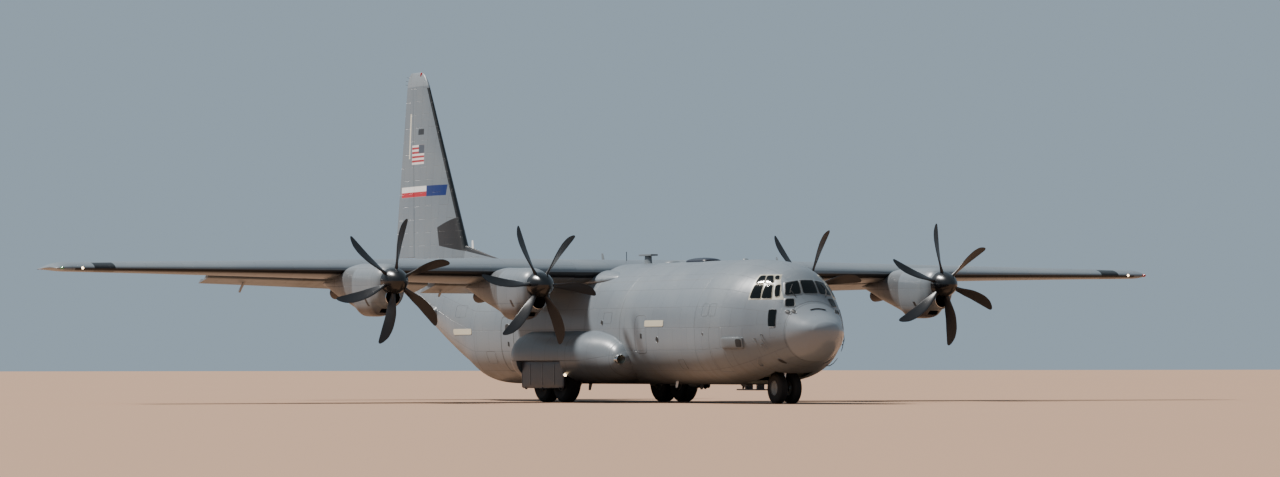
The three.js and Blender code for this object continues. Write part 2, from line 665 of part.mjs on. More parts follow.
function addTail() {
  const upright = (shape) => shape.rotate([90, 0, 0]);
  const elevator = tailplane.surface(ELEVATOR.span, ELEVATOR.chord, ELEVATOR.lip);
  const half = tailplane.solid(0, TAILPLANE.at(-1)[0]).subtract(elevator.space);
  const whole = half.add(mirrorY(half)).subtract(tailCoreCut());
  add('stabiliser', whole, GREY);
  for (const [name, side] of SIDES) add(`elevator_${name}`, side(elevator.piece), GREY);
  const rudder = fin.surface(RUDDER.span, RUDDER.chord, RUDDER.lip);
  const dorsal = loft(DORSAL.map(([station, low, high, side]) => [
    point(station, -side, low), point(station, side, low),
    point(station, DORSAL_TOP, high), point(station, -DORSAL_TOP, high),
  ]));
  const skin = fin.solid(FIN[0][0], FIN.at(-1)[0]);
  const core = shrunk(skin, FIN_SKIN).subtract(fin.behind(0, FAR, FIN_CORE));
  const blade = upright(skin.subtract(rudder.space)).add(dorsal).subtract(upright(core));
  add('fin', blade.subtract(grown(HULL_SOLID, SEAT)).subtract(tailplaneCut), GREY);
  add('rudder', upright(rudder.piece), GREY);
}

// Nothing of the tailplane lies behind its hinge line inside the tail cone
function tailCoreCut() {
  return tailplane.behind(-1.2, 1.2, ELEVATOR.chord);
}

// Hull sections behind the nose

// Stations and heights on an arc about the ramp's pins
const rampArc = (radius, angles) => angles.map((angle) => [
  RAMP_HINGE + radius * Math.cos(rad(angle)), RAMP.pinZ + radius * Math.sin(rad(angle)),
]);
const rampPlan = (gap, rear) => {
  const slope = (RAMP.frontHalf - RAMP.rearHalf) / RAMP.reach;
  const [front, back] = [RAMP.frontHalf + gap, RAMP.frontHalf - slope * (rear - RAMP_HINGE) + gap];
  return [[RAMP_HINGE - 2 * gap, -front], [RAMP_HINGE - 2 * gap, front], [rear, back], [rear, -back]];
};
const aftDoorPlan = (gap) => {
  const [front, back] = [RAMP.rearHalf + gap, AFT_DOOR.rearHalf + gap];
  return [
    [RAMP_END - 0.6, -front], [RAMP_END - 0.6, front], [RAMP_END, front],
    [DOOR_END + 2 * gap, back], [DOOR_END + 2 * gap, -back], [RAMP_END, -front],
  ];
};
const ABOVE_DOOR = [DOOR_END + 1, 4.2];
const BELOW_DOOR = [DOOR_END + 1, -1];
const aftDoorRoom = (gap) => planPrism(aftDoorPlan(gap), -1, FAR).intersect(
  sidePrism([[RAMP_END - 1, -1], [RAMP_END - 1, 2.2], ABOVE_DOOR, BELOW_DOOR], -3, 3),
);

// One pinned hinge point of a panel that turns about y: what the fixed side loses and gains, and
// what the moving side does. The fixed lug comes from ahead of the pin (1) or from behind it (-1).
function pinPoint(station, y, z, ahead) {
  const { radius, lug, ear, half, gap } = PIN;
  const across = (from, to, size) => (
    rod(point(station, y + from, z), point(station, y + to, z), size, size, PIN.sides));
  const block = (near, far, side, up) => {
    const stations = [station - ahead * near, station - ahead * far].sort((p, q) => p - q);
    return box(stations, [y - side, y + side], [z - up, z + up]);
  };
  return {
    relief: across(-2 * half - gap, 2 * half + gap, ear + gap),
    lug: union(block(0, 0.12, half, lug), across(-half, half, lug), across(-1.7 * half, 1.7 * half, radius)),
    notch: block(-half, 4 * half, half + gap, 4 * half),
    ears: across(half + gap, 2 * half, ear).add(across(-2 * half, -half - gap, ear)),
    bore: across(-1.9 * half, 1.9 * half, (radius + SEAT) / Math.cos(Math.PI / PIN.sides)),
  };
}
const pinned = (shape, points) => points.reduce((rest, { relief, lug }) => rest.subtract(relief).add(lug), shape);
const swinging = (shape, points) => points.reduce(
  (rest, { notch, ears, bore }) => rest.subtract(notch).add(ears).subtract(bore), shape,
);

function sideDoorBox(gap) {
  const { front, rear, bottom, top } = SIDE_DOOR;
  const shape = box([front - gap, rear + gap], [1.2, 3], [bottom - gap, top + gap]);
  return shape.add(mirrorY(shape));
}

function addHull() {
  const sideWell = well([WELL.front, WELL.rear], [WELL.inner, WELL.outer], [0.3, WELL.top], WELL.skin);
  const walls = sideWell.walls.add(mirrorY(sideWell.walls));
  const spaces = sideWell.space.add(mirrorY(sideWell.space));
  add('forward_fuselage', shell(NOSE_JOINT, WING_JOINT), GREY);
  const centre = shell(WING_JOINT, WELL_JOINT).add(walls).subtract(spaces).subtract(wingCut);
  add('centre_fuselage', centre, GREY);
  const rampPins = [-1, 1].map((side) => pinPoint(RAMP_HINGE, side * RAMP.pinY, RAMP.pinZ, 1));
  const doorPins = [-1, 1].map((side) => pinPoint(DOOR_END, side * AFT_DOOR.pinY, AFT_DOOR.pinZ, -1));
  const throughRamp = planPrism(rampPlan(RUNNING, RAMP_END + 1), -1, FAR).intersect(
    sidePrism([[WELL_JOINT, -1], [WELL_JOINT, 1.2], [RAMP_HINGE, 1.75], [RAMP_END + 1, 2.5], [RAMP_END + 1, -1]], -3, 3),
  );
  const rear = shell(WELL_JOINT, RAMP_END).subtract(throughRamp).subtract(sideDoorBox(SEAT)).subtract(wingCut);
  add('rear_fuselage', pinned(rear, rampPins), GREY);
  for (const [name, side] of SIDES) {
    add(`paratroop_door_${name}`, wallOf(sideDoorBox(0).intersect(side(box([0, LENGTH], [0, 3], [0, 5])))), GREY);
  }
  const tail = hull(RAMP_END + SEAT / 2, LENGTH).subtract(HULL_INSIDE).subtract(aftDoorRoom(RUNNING));
  add('tail_section', pinned(tail.subtract(tailplaneCut), doorPins), GREY);
  const behindRamp = sidePrism([...rampArc(RAMP.reach, [7, 12, 17, 22, 27]), ABOVE_DOOR, BELOW_DOOR], -3, 3);
  add('aft_cargo_door', swinging(wallOf(aftDoorRoom(0).intersect(behindRamp)), doorPins), GREY);
  const deck = sidePrism([
    [RAMP_HINGE, -1], [RAMP_HINGE, FLOOR.top], ...rampArc(RAMP.reach - RUNNING, [22, 17, 12, 7]), [RAMP_END - 0.2, -1],
  ], -3, 3).intersect(planPrism(rampPlan(0, RAMP_END), -1, FAR));
  add('ramp', swinging(HULL_SOLID.intersect(deck), rampPins), GREY);
  const floor = box([NOSE_JOINT + 0.02, RAMP_HINGE - RUNNING], [-1.56, 1.56], [FLOOR.top - FLOOR.thick, FLOOR.top]);
  add('cargo_floor', floor.intersect(hull(NOSE_JOINT, RAMP_HINGE, WALL + SEAT)), FLOOR_PAINT);
}

// Main gear fairings and legs

function sponsonRing(station, outer, top, bottom) {
  const ring = [];
  const middle = (top + bottom) / 2;
  for (let k = 0; k <= 12; k += 1) {
    const turn = (Math.PI * k) / 12;
    const power = 0.8;
    ring.push(point(
      station,
      1.5 + (outer - 1.5) * Math.sin(turn) ** power,
      middle + ((top - bottom) / 2) * Math.sign(Math.cos(turn)) * Math.abs(Math.cos(turn)) ** power,
    ));
  }
  ring.push(point(station, 1.2, bottom), point(station, 1.2, top));
  return ring;
}

function addMainGear() {
  const fairing = loft(SPONSON.map((entry) => sponsonRing(...entry)));
  const space = box([WELL.front, WELL.rear], [1, WELL.outer], [-1, 1.62])
    .add(box([WELL.front, WELL.rear], [1, 4], [-1, WELL.sill]));
  const inlet = rod(point(10.0, 2.30, 1.42), point(10.5, 2.34, 1.42), 0.15);
  const body = fairing.subtract(space).subtract(grown(HULL_SOLID, SEAT)).subtract(inlet);
  const doorY = 2.66;
  const door = box([WELL.front + 0.05, WELL.rear - 0.05], [doorY, doorY + 0.05], [0.46, WELL.sill - SEAT]);
  const struts = mainStruts();
  for (const [name, side] of SIDES) {
    add(`sponson_${name}`, side(body), GREY);
    add(`main_gear_door_${name}`, side(door), DARK);
    add(`main_gear_struts_${name}`, side(struts), WHITE);
    MAIN_WHEEL.stations.forEach((station, k) => {
      add(`main_wheel_${['front', 'rear'][k]}_${name}`, side(mainWheel(station)), TYRE);
    });
  }
}

const AXLE_RADIUS = 0.095;

// Two shock struts joined by a beam, each with an axle stub
function mainStruts() {
  const legY = 1.76;
  const parts = MAIN_WHEEL.stations.flatMap((station) => [
    rod(point(station, legY, 0.52), point(station, legY, WELL.top - SEAT), 0.12),
    rod(point(station, legY - 0.08, MAIN_WHEEL.radius), point(station, 2.44, MAIN_WHEEL.radius), AXLE_RADIUS),
  ]);
  const [front, rear] = MAIN_WHEEL.stations;
  return union(...parts, box([front, rear], [legY - 0.06, legY + 0.06], [1.05, 1.25]));
}

// Half of a tyre and hub section, from the bore out to the crown
function wheelProfile({ radius, width, rim }, bore) {
  const half = width / 2;
  const side = [
    [bore, 0.62 * half], [rim, 0.62 * half], [rim + 0.02, 0.92 * half],
    [0.8 * radius, half], [0.93 * radius, 0.86 * half], [radius, 0.5 * half],
  ];
  return [...side, ...side.map(([r, y]) => [r, -y]).reverse()];
}

function mainWheel(station) {
  const sides = 20;
  const profile = wheelProfile(MAIN_WHEEL, (AXLE_RADIUS + SEAT) / Math.cos(Math.PI / sides));
  return turned([...profile, profile[0]], station, MAIN_WHEEL.y, MAIN_WHEEL.radius, sides);
}

// Nose gear

const NOSE_AXLE = 0.06;
const STEERING_JOINT = 1.06; // height at which the fork turns under the leg

function addNoseGear() {
  const { station, radius, y } = NOSE_WHEEL;
  const leg = union(
    rod(point(station, 0, STEERING_JOINT), point(station, 0, NOSE_WELL.top - SEAT), 0.12),
    rod(point(station + 0.05, 0, 1.15), point(station + 1.1, 0, NOSE_WELL.top - SEAT - 0.06), 0.05),
    box([station + 1.0, station + 1.2], [-0.12, 0.12], [NOSE_WELL.top - 0.14, NOSE_WELL.top - SEAT]),
  );
  add('nose_gear_leg', leg, WHITE);
  const eye = rod(point(station, -0.075, radius), point(station, 0.075, radius), 0.13);
  const bore = (NOSE_AXLE + SEAT) / Math.cos(Math.PI / 12);
  const fork = eye.add(rod(point(station, 0, radius + 0.05), point(station, 0, STEERING_JOINT - SEAT), 0.07))
    .subtract(rod(point(station, -1, radius), point(station, 1, radius), bore));
  add('nose_gear_fork', fork, STEEL);
  const half = wheelProfile(NOSE_WHEEL, NOSE_AXLE);
  const outline = [...half.map(([r, side]) => [r, side + y]), ...half.map(([r, side]) => [r, side - y])];
  const tip = y + 0.62 * (NOSE_WHEEL.width / 2);
  const profile = [[0, tip], ...outline, [0, -tip]];
  add('nose_wheels', turned(profile, station, 0, radius, 20), TYRE);
  const plate = planPrism([[4.36, -0.34], [5.6, -0.34], [6.4, 0], [5.6, 0.34], [4.36, 0.34]], 0.42, 0.46);
  const brackets = [4.7, 5.5].map((s) => box([s - 0.05, s + 0.05], [-0.12, 0.12], [0.45, 0.75]));
  add('nose_gear_aft_door', union(plate, ...brackets).subtract(grown(HULL_SOLID, SEAT)), GREY);
}

// Engines and propellers

function nacelleRing([aft, half, top, bottom, squareness], y, hub) {
  const ring = [];
  for (let k = 0; k < 20; k += 1) {
    const turn = (2 * Math.PI * (k + 0.5)) / 20;
    const [side, up] = [Math.sin(turn), Math.cos(turn)];
    const power = 2 / squareness;
    const reach = up > 0 ? top : -bottom;
    ring.push(point(
      PROP_STATION + aft,
      y + half * Math.sign(side) * Math.abs(side) ** (up > 0 ? 1 : power),
      hub + reach * Math.sign(up) * Math.abs(up) ** (up > 0 ? 1 : power),
    ));
  }
  return ring;
}

function addEngine([number, y, hub, phase]) {
  const front = PROP_STATION + ENGINE.front;
  const rear = front + ENGINE.length;
  const span = (gap) => box(
    [front - gap, rear + gap], [y - ENGINE.width / 2 - gap, y + ENGINE.width / 2 + gap],
    [hub - ENGINE.height / 2 - SEAT, hub + ENGINE.height / 2 + gap],
  );
  const block = box(
    [front, rear], [y - ENGINE.width / 2, y + ENGINE.width / 2], [hub - ENGINE.height / 2, hub + ENGINE.height / 2],
  );
  add(`engine_block_${number}`, block, STEEL);
  const bore = rod(point(PROP_STATION, y, hub), point(front + 0.05, y, hub), SHAFT_RADIUS + RUNNING);
  const mouthZ = hub - MOUTH.drop;
  const mouth = rod(point(PROP_STATION, y, mouthZ), point(PROP_STATION + MOUTH.depth, y, mouthZ), MOUTH.radius);
  const cooler = box(
    [PROP_STATION + COOLER.front, PROP_STATION + COOLER.rear], [y - COOLER.half, y + COOLER.half],
    [hub + COOLER.low, hub + COOLER.high],
  );
  const cowl = loft(NACELLE.map((entry) => nacelleRing(entry, y, hub)));
  add(`nacelle_${number}`, cowl.subtract(union(span(0.03), bore, mouth, cooler)).subtract(wingCut), GREY);
  addPropeller(number, y, hub, phase);
}

// A spinner with its back plate and shaft, and six curved blades
function addPropeller(number, y, hub, phase) {
  const spinner = [[0, 0.63], [0.13, 0.58], [0.26, 0.45], [0.36, 0.26], [0.42, 0.06], [0.435, -0.16], [0, -0.16]];
  const geometry = new THREE.LatheGeometry(spinner.map(([r, x]) => new THREE.Vector2(r, x)).reverse(), 18);
  geometry.rotateZ(-Math.PI / 2);
  geometry.translate(at(PROP_STATION), 0, 0);
  const parts = [solid(geometry), rod(point(PROP_STATION, 0, 0), point(PROP_STATION + ENGINE.front - SEAT, 0, 0), SHAFT_RADIUS)];
  for (let k = 0; k < BLADES; k += 1) {
    parts.push(bladeSolid().rotate([phase + (360 * k) / BLADES, 0, 0]));
  }
  add(`propeller_${number}`, moved(union(...parts), 0, y, hub), BLACK);
}

function bladeSolid() {
  const rings = BLADE.map(([radius, chord, thickness, pitch, sweep]) => {
    const ring = [];
    for (let k = 0; k < BLADE_SIDES; k += 1) {
      const turn = (2 * Math.PI * k) / BLADE_SIDES;
      const across = (chord / 2) * Math.cos(turn) + sweep;
      const deep = (thickness / 2) * Math.sin(turn);
      const [c, s] = [Math.cos(rad(pitch)), Math.sin(rad(pitch))];
      ring.push(new THREE.Vector3(at(PROP_STATION) - across * s + deep * c, across * c + deep * s, radius));
    }
    return ring;
  });
  return loft(rings);
}

addNose();
addFlightDeck();
addHull();
addWing();
addTail();
addMainGear();
addNoseGear();
ENGINES.forEach(addEngine);

export default group;
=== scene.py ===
"""Looks of a four-engined military transport plane, parked on its wheels, round its packed half-size model.

Lengths are metres at full size, as in the part's own source: a station runs aft from the nose tip, y to port
and z up from the ground. Shapes are arrays of (x, y, z) points in those metres, and piece() halves them into
the frame.
"""

import json

import bmesh
import bpy
import numpy as np
from mathutils import Matrix, Vector


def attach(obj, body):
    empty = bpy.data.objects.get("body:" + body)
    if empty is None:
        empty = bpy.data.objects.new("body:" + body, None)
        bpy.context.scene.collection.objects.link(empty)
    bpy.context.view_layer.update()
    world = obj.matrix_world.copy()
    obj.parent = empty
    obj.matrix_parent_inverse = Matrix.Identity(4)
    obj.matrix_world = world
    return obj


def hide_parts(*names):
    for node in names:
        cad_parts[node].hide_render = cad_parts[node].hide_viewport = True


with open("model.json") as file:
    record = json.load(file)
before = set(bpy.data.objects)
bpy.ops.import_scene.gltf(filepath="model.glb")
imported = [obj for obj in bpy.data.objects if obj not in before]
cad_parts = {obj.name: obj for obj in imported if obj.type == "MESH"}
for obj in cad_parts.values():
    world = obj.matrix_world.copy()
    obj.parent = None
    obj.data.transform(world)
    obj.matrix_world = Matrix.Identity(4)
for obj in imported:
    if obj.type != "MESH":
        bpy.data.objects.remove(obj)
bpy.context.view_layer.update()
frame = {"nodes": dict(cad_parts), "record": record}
SCALE = 0.5
LENGTH = 34.36
BODY_OF = {node: body for body, nodes in frame["record"]["behaviour"]["bodies"].items() for node in nodes}
AIRFRAME = BODY_OF["nose_section"]
SIDES = {"left": 1, "right": -1}
TURN = 2 * np.pi
HARD_ANGLE = 32.0
AHEAD, PORT, UPWARD = [1, 0, 0], [0, 1, 0], [0, 0, 1]


# Materials: a wire is a value in a node tree, and a finish is one material


class Wire:
    """A value that runs through a material. Its operators add Math nodes."""

    def __init__(self, finish, socket):
        self.finish, self.socket = finish, socket

    def math(self, operation, *others):
        inputs = {0: self, **{k + 1: other for k, other in enumerate(others)}}
        return self.finish.node("Math", {"operation": operation}, inputs)

    def __add__(self, other):
        return self.math("ADD", other)

    def __mul__(self, other):
        return self.math("MULTIPLY", other)

    def __sub__(self, other):
        return self.math("SUBTRACT", other)

    def __truediv__(self, other):
        return self.math("DIVIDE", other)

    def __rsub__(self, other):
        return self.finish.node("Math", {"operation": "SUBTRACT"}, {0: other, 1: self})

    def __abs__(self):
        return self.math("ABSOLUTE")

    __radd__, __rmul__ = __add__, __mul__

    def most(self, other):
        return self.math("MAXIMUM", other)

    def part(self):
        return self.math("FRACT")

    def rises(self, low, high):
        """0 below low and 1 above high, with a smooth step between; it falls where low is the larger."""
        first, last, ends = (low, high, (0.0, 1.0)) if low < high else (high, low, (1.0, 0.0))
        inputs = {"Value": self, "From Min": first, "From Max": last, "To Min": ends[0], "To Max": ends[1]}
        return self.finish.node("MapRange", {"interpolation_type": "SMOOTHSTEP", "clamp": True}, inputs)

    def within(self, low, high, soft=0.004):
        return self.rises(low - soft, low + soft) * self.rises(high + soft, high - soft)


class Finish:
    """A material made of nodes, with what every finish here reads: station, y and height at full size."""

    def __init__(self, name):
        self.material = bpy.data.materials.new(name)
        self.material.use_nodes = True
        self.tree = self.material.node_tree
        self.tree.nodes.clear()
        self.end = self.tree.nodes.new("ShaderNodeOutputMaterial")
        place = self.node("TexCoord", output="Object")
        split = self.node("SeparateXYZ", None, {0: place})
        x, y, z = (Wire(self, split.socket.node.outputs[k]) for k in range(3))
        self.station, self.y, self.z = LENGTH / 2 - x * (1 / SCALE), y * (1 / SCALE), z * (1 / SCALE)

    def node(self, kind, settings=None, inputs=None, output=0):
        """One node of a type, with its settings made first and then its sockets; gives one of its outputs."""
        made = self.tree.nodes.new("ShaderNode" + kind)
        for key, value in (settings or {}).items():
            setattr(made, key, value)
        for key, value in (inputs or {}).items():
            if isinstance(value, Wire):
                self.tree.links.new(value.socket, made.inputs[key])
            else:
                made.inputs[key].default_value = value
        return Wire(self, made.outputs[output])

    def at(self, x, y, z=0.0):
        return self.node("CombineXYZ", None, {0: x, 1: y, 2: z})

    def noise(self, place, detail=3.0, rough=0.55):
        return self.node("TexNoise", None,
                         {"Vector": place, "Scale": 1.0, "Detail": detail, "Roughness": rough})

    def clouds(self, along, over, up, detail=3.0, rough=0.55):
        """Noise stretched by its own rate along each of station, y and height."""
        return self.noise(self.at(self.station * along, self.y * over, self.z * up), detail, rough)

    def mix(self, share, first, second, blend="MIX"):
        return self.node("Mix", {"data_type": "RGBA", "blend_type": blend}, {0: share, 6: first, 7: second},
                         2)

    def shade(self, colour, amount):
        """A colour made darker or lighter by a value near 1."""
        grey = self.node("CombineColor", None, {0: amount, 1: amount, 2: amount})
        return self.mix(1.0, colour, grey, "MULTIPLY")

    def surface(self, colour, roughness, metallic=0.0, height=None, relief=0.003, **fixed):
        inputs = {"Base Color": colour, "Roughness": roughness, "Metallic": metallic}
        inputs.update({key.replace("_", " "): value for key, value in fixed.items()})
        if height is not None:
            inputs["Normal"] = self.node("Bump", None,
                                         {"Height": height, "Distance": relief, "Strength": 1.0})
        shader = self.node("BsdfPrincipled", None, inputs)
        self.tree.links.new(shader.socket, self.end.inputs["Surface"])
        return self.material


def rgb(red, green, blue):
    """A colour from screen values of 0 to 255."""
    share = np.array([red, green, blue]) / 255
    linear = np.where(share < 0.04045, share / 12.92, ((share + 0.055) / 1.055) ** 2.4)
    return (*map(float, linear), 1.0)


PAINT_GREY = rgb(104, 112, 119)
SEAM = {"width": 0.006, "soft": 0.3}


def seams(finish, along, across, length, width):
    """Skin panels in staggered rows: how much a point lies in a joint, and a slight tint for each panel."""
    settings = {"offset": 0.5, "offset_frequency": 2, "squash": 1.0}
    inputs = {
        "Vector": finish.at(along, across), "Color1": (0.0, 0.0, 0.0, 1.0), "Color2": (1.0, 1.0, 1.0, 1.0),
        "Mortar": (0.5, 0.5, 0.5, 1.0), "Scale": 1.0, "Mortar Size": SEAM["width"],
        "Mortar Smooth": SEAM["soft"],
        "Bias": 0.0, "Brick Width": length, "Row Height": width,
    }
    tint = finish.node("TexBrick", settings, inputs, "Color")
    joint = Wire(finish, tint.socket.node.outputs["Fac"])
    return joint, finish.node("SeparateColor", None, {0: tint})


def rivets(finish, along, across, pitch, spacing):
    """Rows of small round heads: rows stand spacing apart, and heads in a row stand pitch apart."""
    down = ((along / spacing).part() - 0.5) * spacing
    over = ((across / pitch).part() - 0.5) * pitch
    return (down * down + over * over).math("SQRT").rises(0.0075, 0.0045)


def aircraft_paint(name, frame_of, panel, marks=None, lines=None, base=PAINT_GREY, grime_and_belly_shade=1.0, gloss=0.34):
    """Grey paint over riveted skin: panel joints, tint from panel to panel, streaks of grime, and painted
    belly shade that darkens and browns the skin towards the bottom.

    frame_of gives the two directions along the skin. panel is the length and width of its panels. lines gives
    further joints, and marks gives (how much, paint) pairs laid over the grey."""
    finish = Finish(name)
    along, across = frame_of(finish)
    joint, tint = seams(finish, along, across, *panel)
    if lines:
        joint = joint.most(lines(finish))
    heads = rivets(finish, along, across, 0.042, panel[0] / 2)
    cloudy = finish.clouds(0.45, 0.45, 0.45, 4.0)
    fine = finish.clouds(9.0, 9.0, 9.0, 5.0, 0.6)
    streak = finish.clouds(5.5, 0.8, 0.55, 4.0, 0.6)
    # painted belly shade, with some grime: below 1.7 m the skin grows darker towards the bottom
    low = finish.z.rises(1.7, 0.6) * grime_and_belly_shade
    tone = 1.0 + (tint - 0.5) * 0.045 + (cloudy - 0.5) * 0.20 + (fine - 0.5) * 0.06
    tone = tone - streak.rises(0.56, 0.78) * 0.09 * grime_and_belly_shade - joint * 0.24 - heads * 0.08 - low * 0.20
    colour = finish.mix(cloudy.rises(0.35, 0.7) * 0.35, base, rgb(113, 118, 119))
    colour = finish.shade(colour, tone)
    # painted belly shade: the bottom of the skin is mixed towards brown, more where grime streaks run
    colour = finish.mix(low * (0.25 + streak.rises(0.4, 0.7) * 0.35), colour, rgb(84, 76, 68))
    for mask, paint in (marks(finish) if marks else ()):
        colour = finish.mix(mask, colour, finish.shade(paint, tone))
    rough = gloss + (cloudy - 0.5) * 0.20 + (fine - 0.5) * 0.12 + joint * 0.2 + low * 0.1
    height = heads * 0.5 - joint + (cloudy - 0.5) * 0.6
    return finish.surface(colour, rough, 0.0, height, 0.0022, Specular_IOR_Level=0.45)


def around_hull(finish):
    """Along the hull and round it: an angle about its middle, which climbs aft, times a mean radius."""
    rise = (finish.station - 22.13).most(0.0) * 0.185
    turn = finish.node("Math", {"operation": "ARCTAN2"}, {0: finish.y, 1: finish.z - 2.6 - rise})
    return finish.station, turn * 2.05 + 0.2


def along_wing(finish):
    """Along the span and along the chord."""
    return finish.y + 0.31, finish.station


def up_fin(finish):
    """Up the fin and along its chord."""
    return finish.z + 0.15, finish.station


def round_nacelle(finish):
    """Along a cowl and up its side."""
    return finish.station + 0.2, finish.z + 0.12


# Shapes: arrays of points in metres at full size


def at(station):
    """The x of a station."""
    return LENGTH / 2 - station


def points(station, y, z):
    """Points from arrays of stations, y and z that spread over each other."""
    return np.stack(np.broadcast_arrays(at(np.asarray(station, float)), y, z), -1).astype(float)


def mirror(shape):
    """The same points on the other side of the plane of symmetry."""
    return shape * np.array([1.0, -1.0, 1.0])


def smooth(table, value):
    """The other columns of a table at values of its first, on a cubic that never overshoots its rows."""
    table = np.asarray(table, float)
    x, y = table[:, 0], table[:, 1:]
    step = np.diff(x)[:, None]
    rise = np.diff(y, axis=0) / step
    before, after = rise[:-1], rise[1:]
    agree = before * after > 0
    mean = np.where(agree, 2 * before * after / np.where(agree, before + after, 1.0), 0.0)
    slope = np.vstack([rise[:1], mean, rise[-1:]])
    value = np.asarray(value, float)
    k = np.clip(np.searchsorted(x, value, side="right") - 1, 0, len(x) - 2)
    t = ((value - x[k]) / (x[k + 1] - x[k]))[..., None]
    t = np.clip(t, 0.0, 1.0)
    return (
        (1 + 2 * t) * (1 - t) ** 2 * y[k] + t * (1 - t) ** 2 * step[k] * slope[k]
        + t * t * (3 - 2 * t) * y[k + 1] + t * t * (t - 1) * step[k] * slope[k + 1]
    )


def columns(table, value):
    """The columns of smooth(), each as an array of its own."""
    return np.moveaxis(smooth(table, value), -1, 0)


def straight(table, value):
    """The other columns of a table at values of its first, on straight lines between the rows."""
    table = np.asarray(table, float)
    return [np.interp(value, table[:, 0], column) for column in table[:, 1:].T]


def net(grid, round_rows=False, round_columns=False, caps=True):
    """The faces of a grid of points. Either way round can close on itself, and open end rows are filled."""
    rows, across = grid.shape[:2]
    i = np.arange(rows if round_rows else rows - 1)[:, None]
    j = np.arange(across if round_columns else across - 1)[None, :]
    k, m = (i + 1) % rows, (j + 1) % across
    quads = np.stack(np.broadcast_arrays(i * across + j, i * across + m, k * across + m, k * across + j), -1)
    ends = [] if round_rows or not caps else [np.arange(across), np.arange(across) + (rows - 1) * across]
    return grid.reshape(-1, 3), quads.reshape(-1, 4), ends


def shell(*nets):
    """One closed skin from nets that share edges: equal points merge, and faces without area go."""
    place = np.concatenate([net_points for net_points, _, _ in nets])
    starts = np.cumsum([0] + [len(net_points) for net_points, _, _ in nets])
    _, first, merged = np.unique(np.round(place, 5), axis=0, return_index=True, return_inverse=True)
    merged = merged.reshape(-1)
    quads = merged[np.concatenate([quads + start for (_, quads, _), start in zip(nets, starts)])]
    same = quads == np.roll(quads, -1, axis=1)
    whole, cut = quads[same.sum(1) == 0], same.sum(1) == 1
    corners = quads[cut][~same[cut]].reshape(-1, 3)
    faces = whole.tolist() + corners.tolist()
    for (_, _, ends), start in zip(nets, starts):
        for end in ends:
            ring = merged[end + start]
            ring = ring[ring != np.roll(ring, -1)]
            if len(np.unique(ring)) == len(ring) > 2:
                faces.append(ring.tolist())
    return place[first], faces


def mesh_of(name, shells):
    """A mesh in the frame's metres from closed skins, with its faces turned out and its hard edges marked."""
    mesh = bpy.data.meshes.new(name)
    starts = np.cumsum([0] + [len(place) for place, _ in shells])
    faces = [[k + int(start) for k in face] for (_, group), start in zip(shells, starts) for face in group]
    mesh.from_pydata(np.concatenate([place for place, _ in shells]) * SCALE, [], faces)
    work = bmesh.new()
    work.from_mesh(mesh)
    bmesh.ops.recalc_face_normals(work, faces=work.faces)
    work.to_mesh(mesh)
    work.free()
    soften(mesh)
    return mesh


def soften(mesh):
    """Shades a mesh smooth, but for edges that bend by more than the hard angle."""
    mesh.polygons.foreach_set("use_smooth", np.ones(len(mesh.polygons), bool))
    mesh.set_sharp_from_angle(angle=float(np.radians(HARD_ANGLE)))


def piece(name, shells, material, body=AIRFRAME, node=()):
    """An object that rides on a body; node names the CAD nodes that it stands for."""
    made = bpy.data.objects.new(name, mesh_of(name, shells))
    bpy.context.scene.collection.objects.link(made)
    for one in material if isinstance(material, (list, tuple)) else [material]:
        made.data.materials.append(one)
    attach(made, body)
    for one in [node] if isinstance(node, str) else node:
        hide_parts(one)
    return made


def cut(made, tools, keep=False):
    """Takes closed skins out of a piece, or keeps only what lies inside them."""
    for k, tool in enumerate(tools):
        cutter = bpy.data.objects.new(f"cutter_{k}", mesh_of("cutter", [tool]))
        bpy.context.scene.collection.objects.link(cutter)
        change = made.modifiers.new("cut", "BOOLEAN")
        change.operation, change.solver = "INTERSECT" if keep else "DIFFERENCE", "EXACT"
        change.object = cutter
        bpy.context.view_layer.update()
        whole = made.evaluated_get(bpy.context.evaluated_depsgraph_get())
        fresh = bpy.data.meshes.new_from_object(whole)
        made.modifiers.remove(change)
        old, made.data = made.data, fresh
        fresh.name = made.name
        bpy.data.meshes.remove(old)
        bpy.data.objects.remove(cutter)
    soften(made.data)
    return made


def second_finish(made, test):
    """Gives the second material to the faces whose middle passes a test on full-size points."""
    middle = np.zeros(len(made.data.polygons) * 3)
    made.data.polygons.foreach_get("center", middle)
    chosen = test(middle.reshape(-1, 3) / SCALE).astype(np.int32)
    made.data.polygons.foreach_set("material_index", chosen)


def block(stations, widths, heights):
    """A box between two stations, two y and two heights, as a cutter or a small bracket."""
    (a, b), (c, d), (e, f) = stations, widths, heights
    ring = np.array([[c, e], [d, e], [d, f], [c, f]])
    return shell(net(points(np.array([[a], [b]]), ring[None, :, 0], ring[None, :, 1]), round_columns=True))


def prism(outline, axis, low, high):
    """An outline carried along an axis: (station, z) along y, (station, y) along z or (y, z) along x."""
    first, second = np.asarray(outline, float).T
    ends = np.array([[low], [high]])
    grid = {
        "y": lambda: points(first, ends, second), "z": lambda: points(first, second, ends),
        "x": lambda: points(ends, first, second),
    }[axis]()
    return shell(net(grid, round_columns=True))


def rounded(corners, radius, steps=6):
    """An outline whose corners are short curves from one side to the next, pulled to the corner."""
    corner = np.asarray(corners, float)
    back, ahead = np.roll(corner, 1, 0) - corner, np.roll(corner, -1, 0) - corner
    reach = [np.minimum(radius, 0.45 * np.linalg.norm(side, axis=1))[:, None] for side in (back, ahead)]
    start = corner + back / np.linalg.norm(back, axis=1)[:, None] * reach[0]
    stop = corner + ahead / np.linalg.norm(ahead, axis=1)[:, None] * reach[1]
    t = np.linspace(0, 1, steps)[None, :, None]
    curve = (1 - t) ** 2 * start[:, None] + 2 * t * (1 - t) * corner[:, None] + t * t * stop[:, None]
    return curve.reshape(-1, 2)


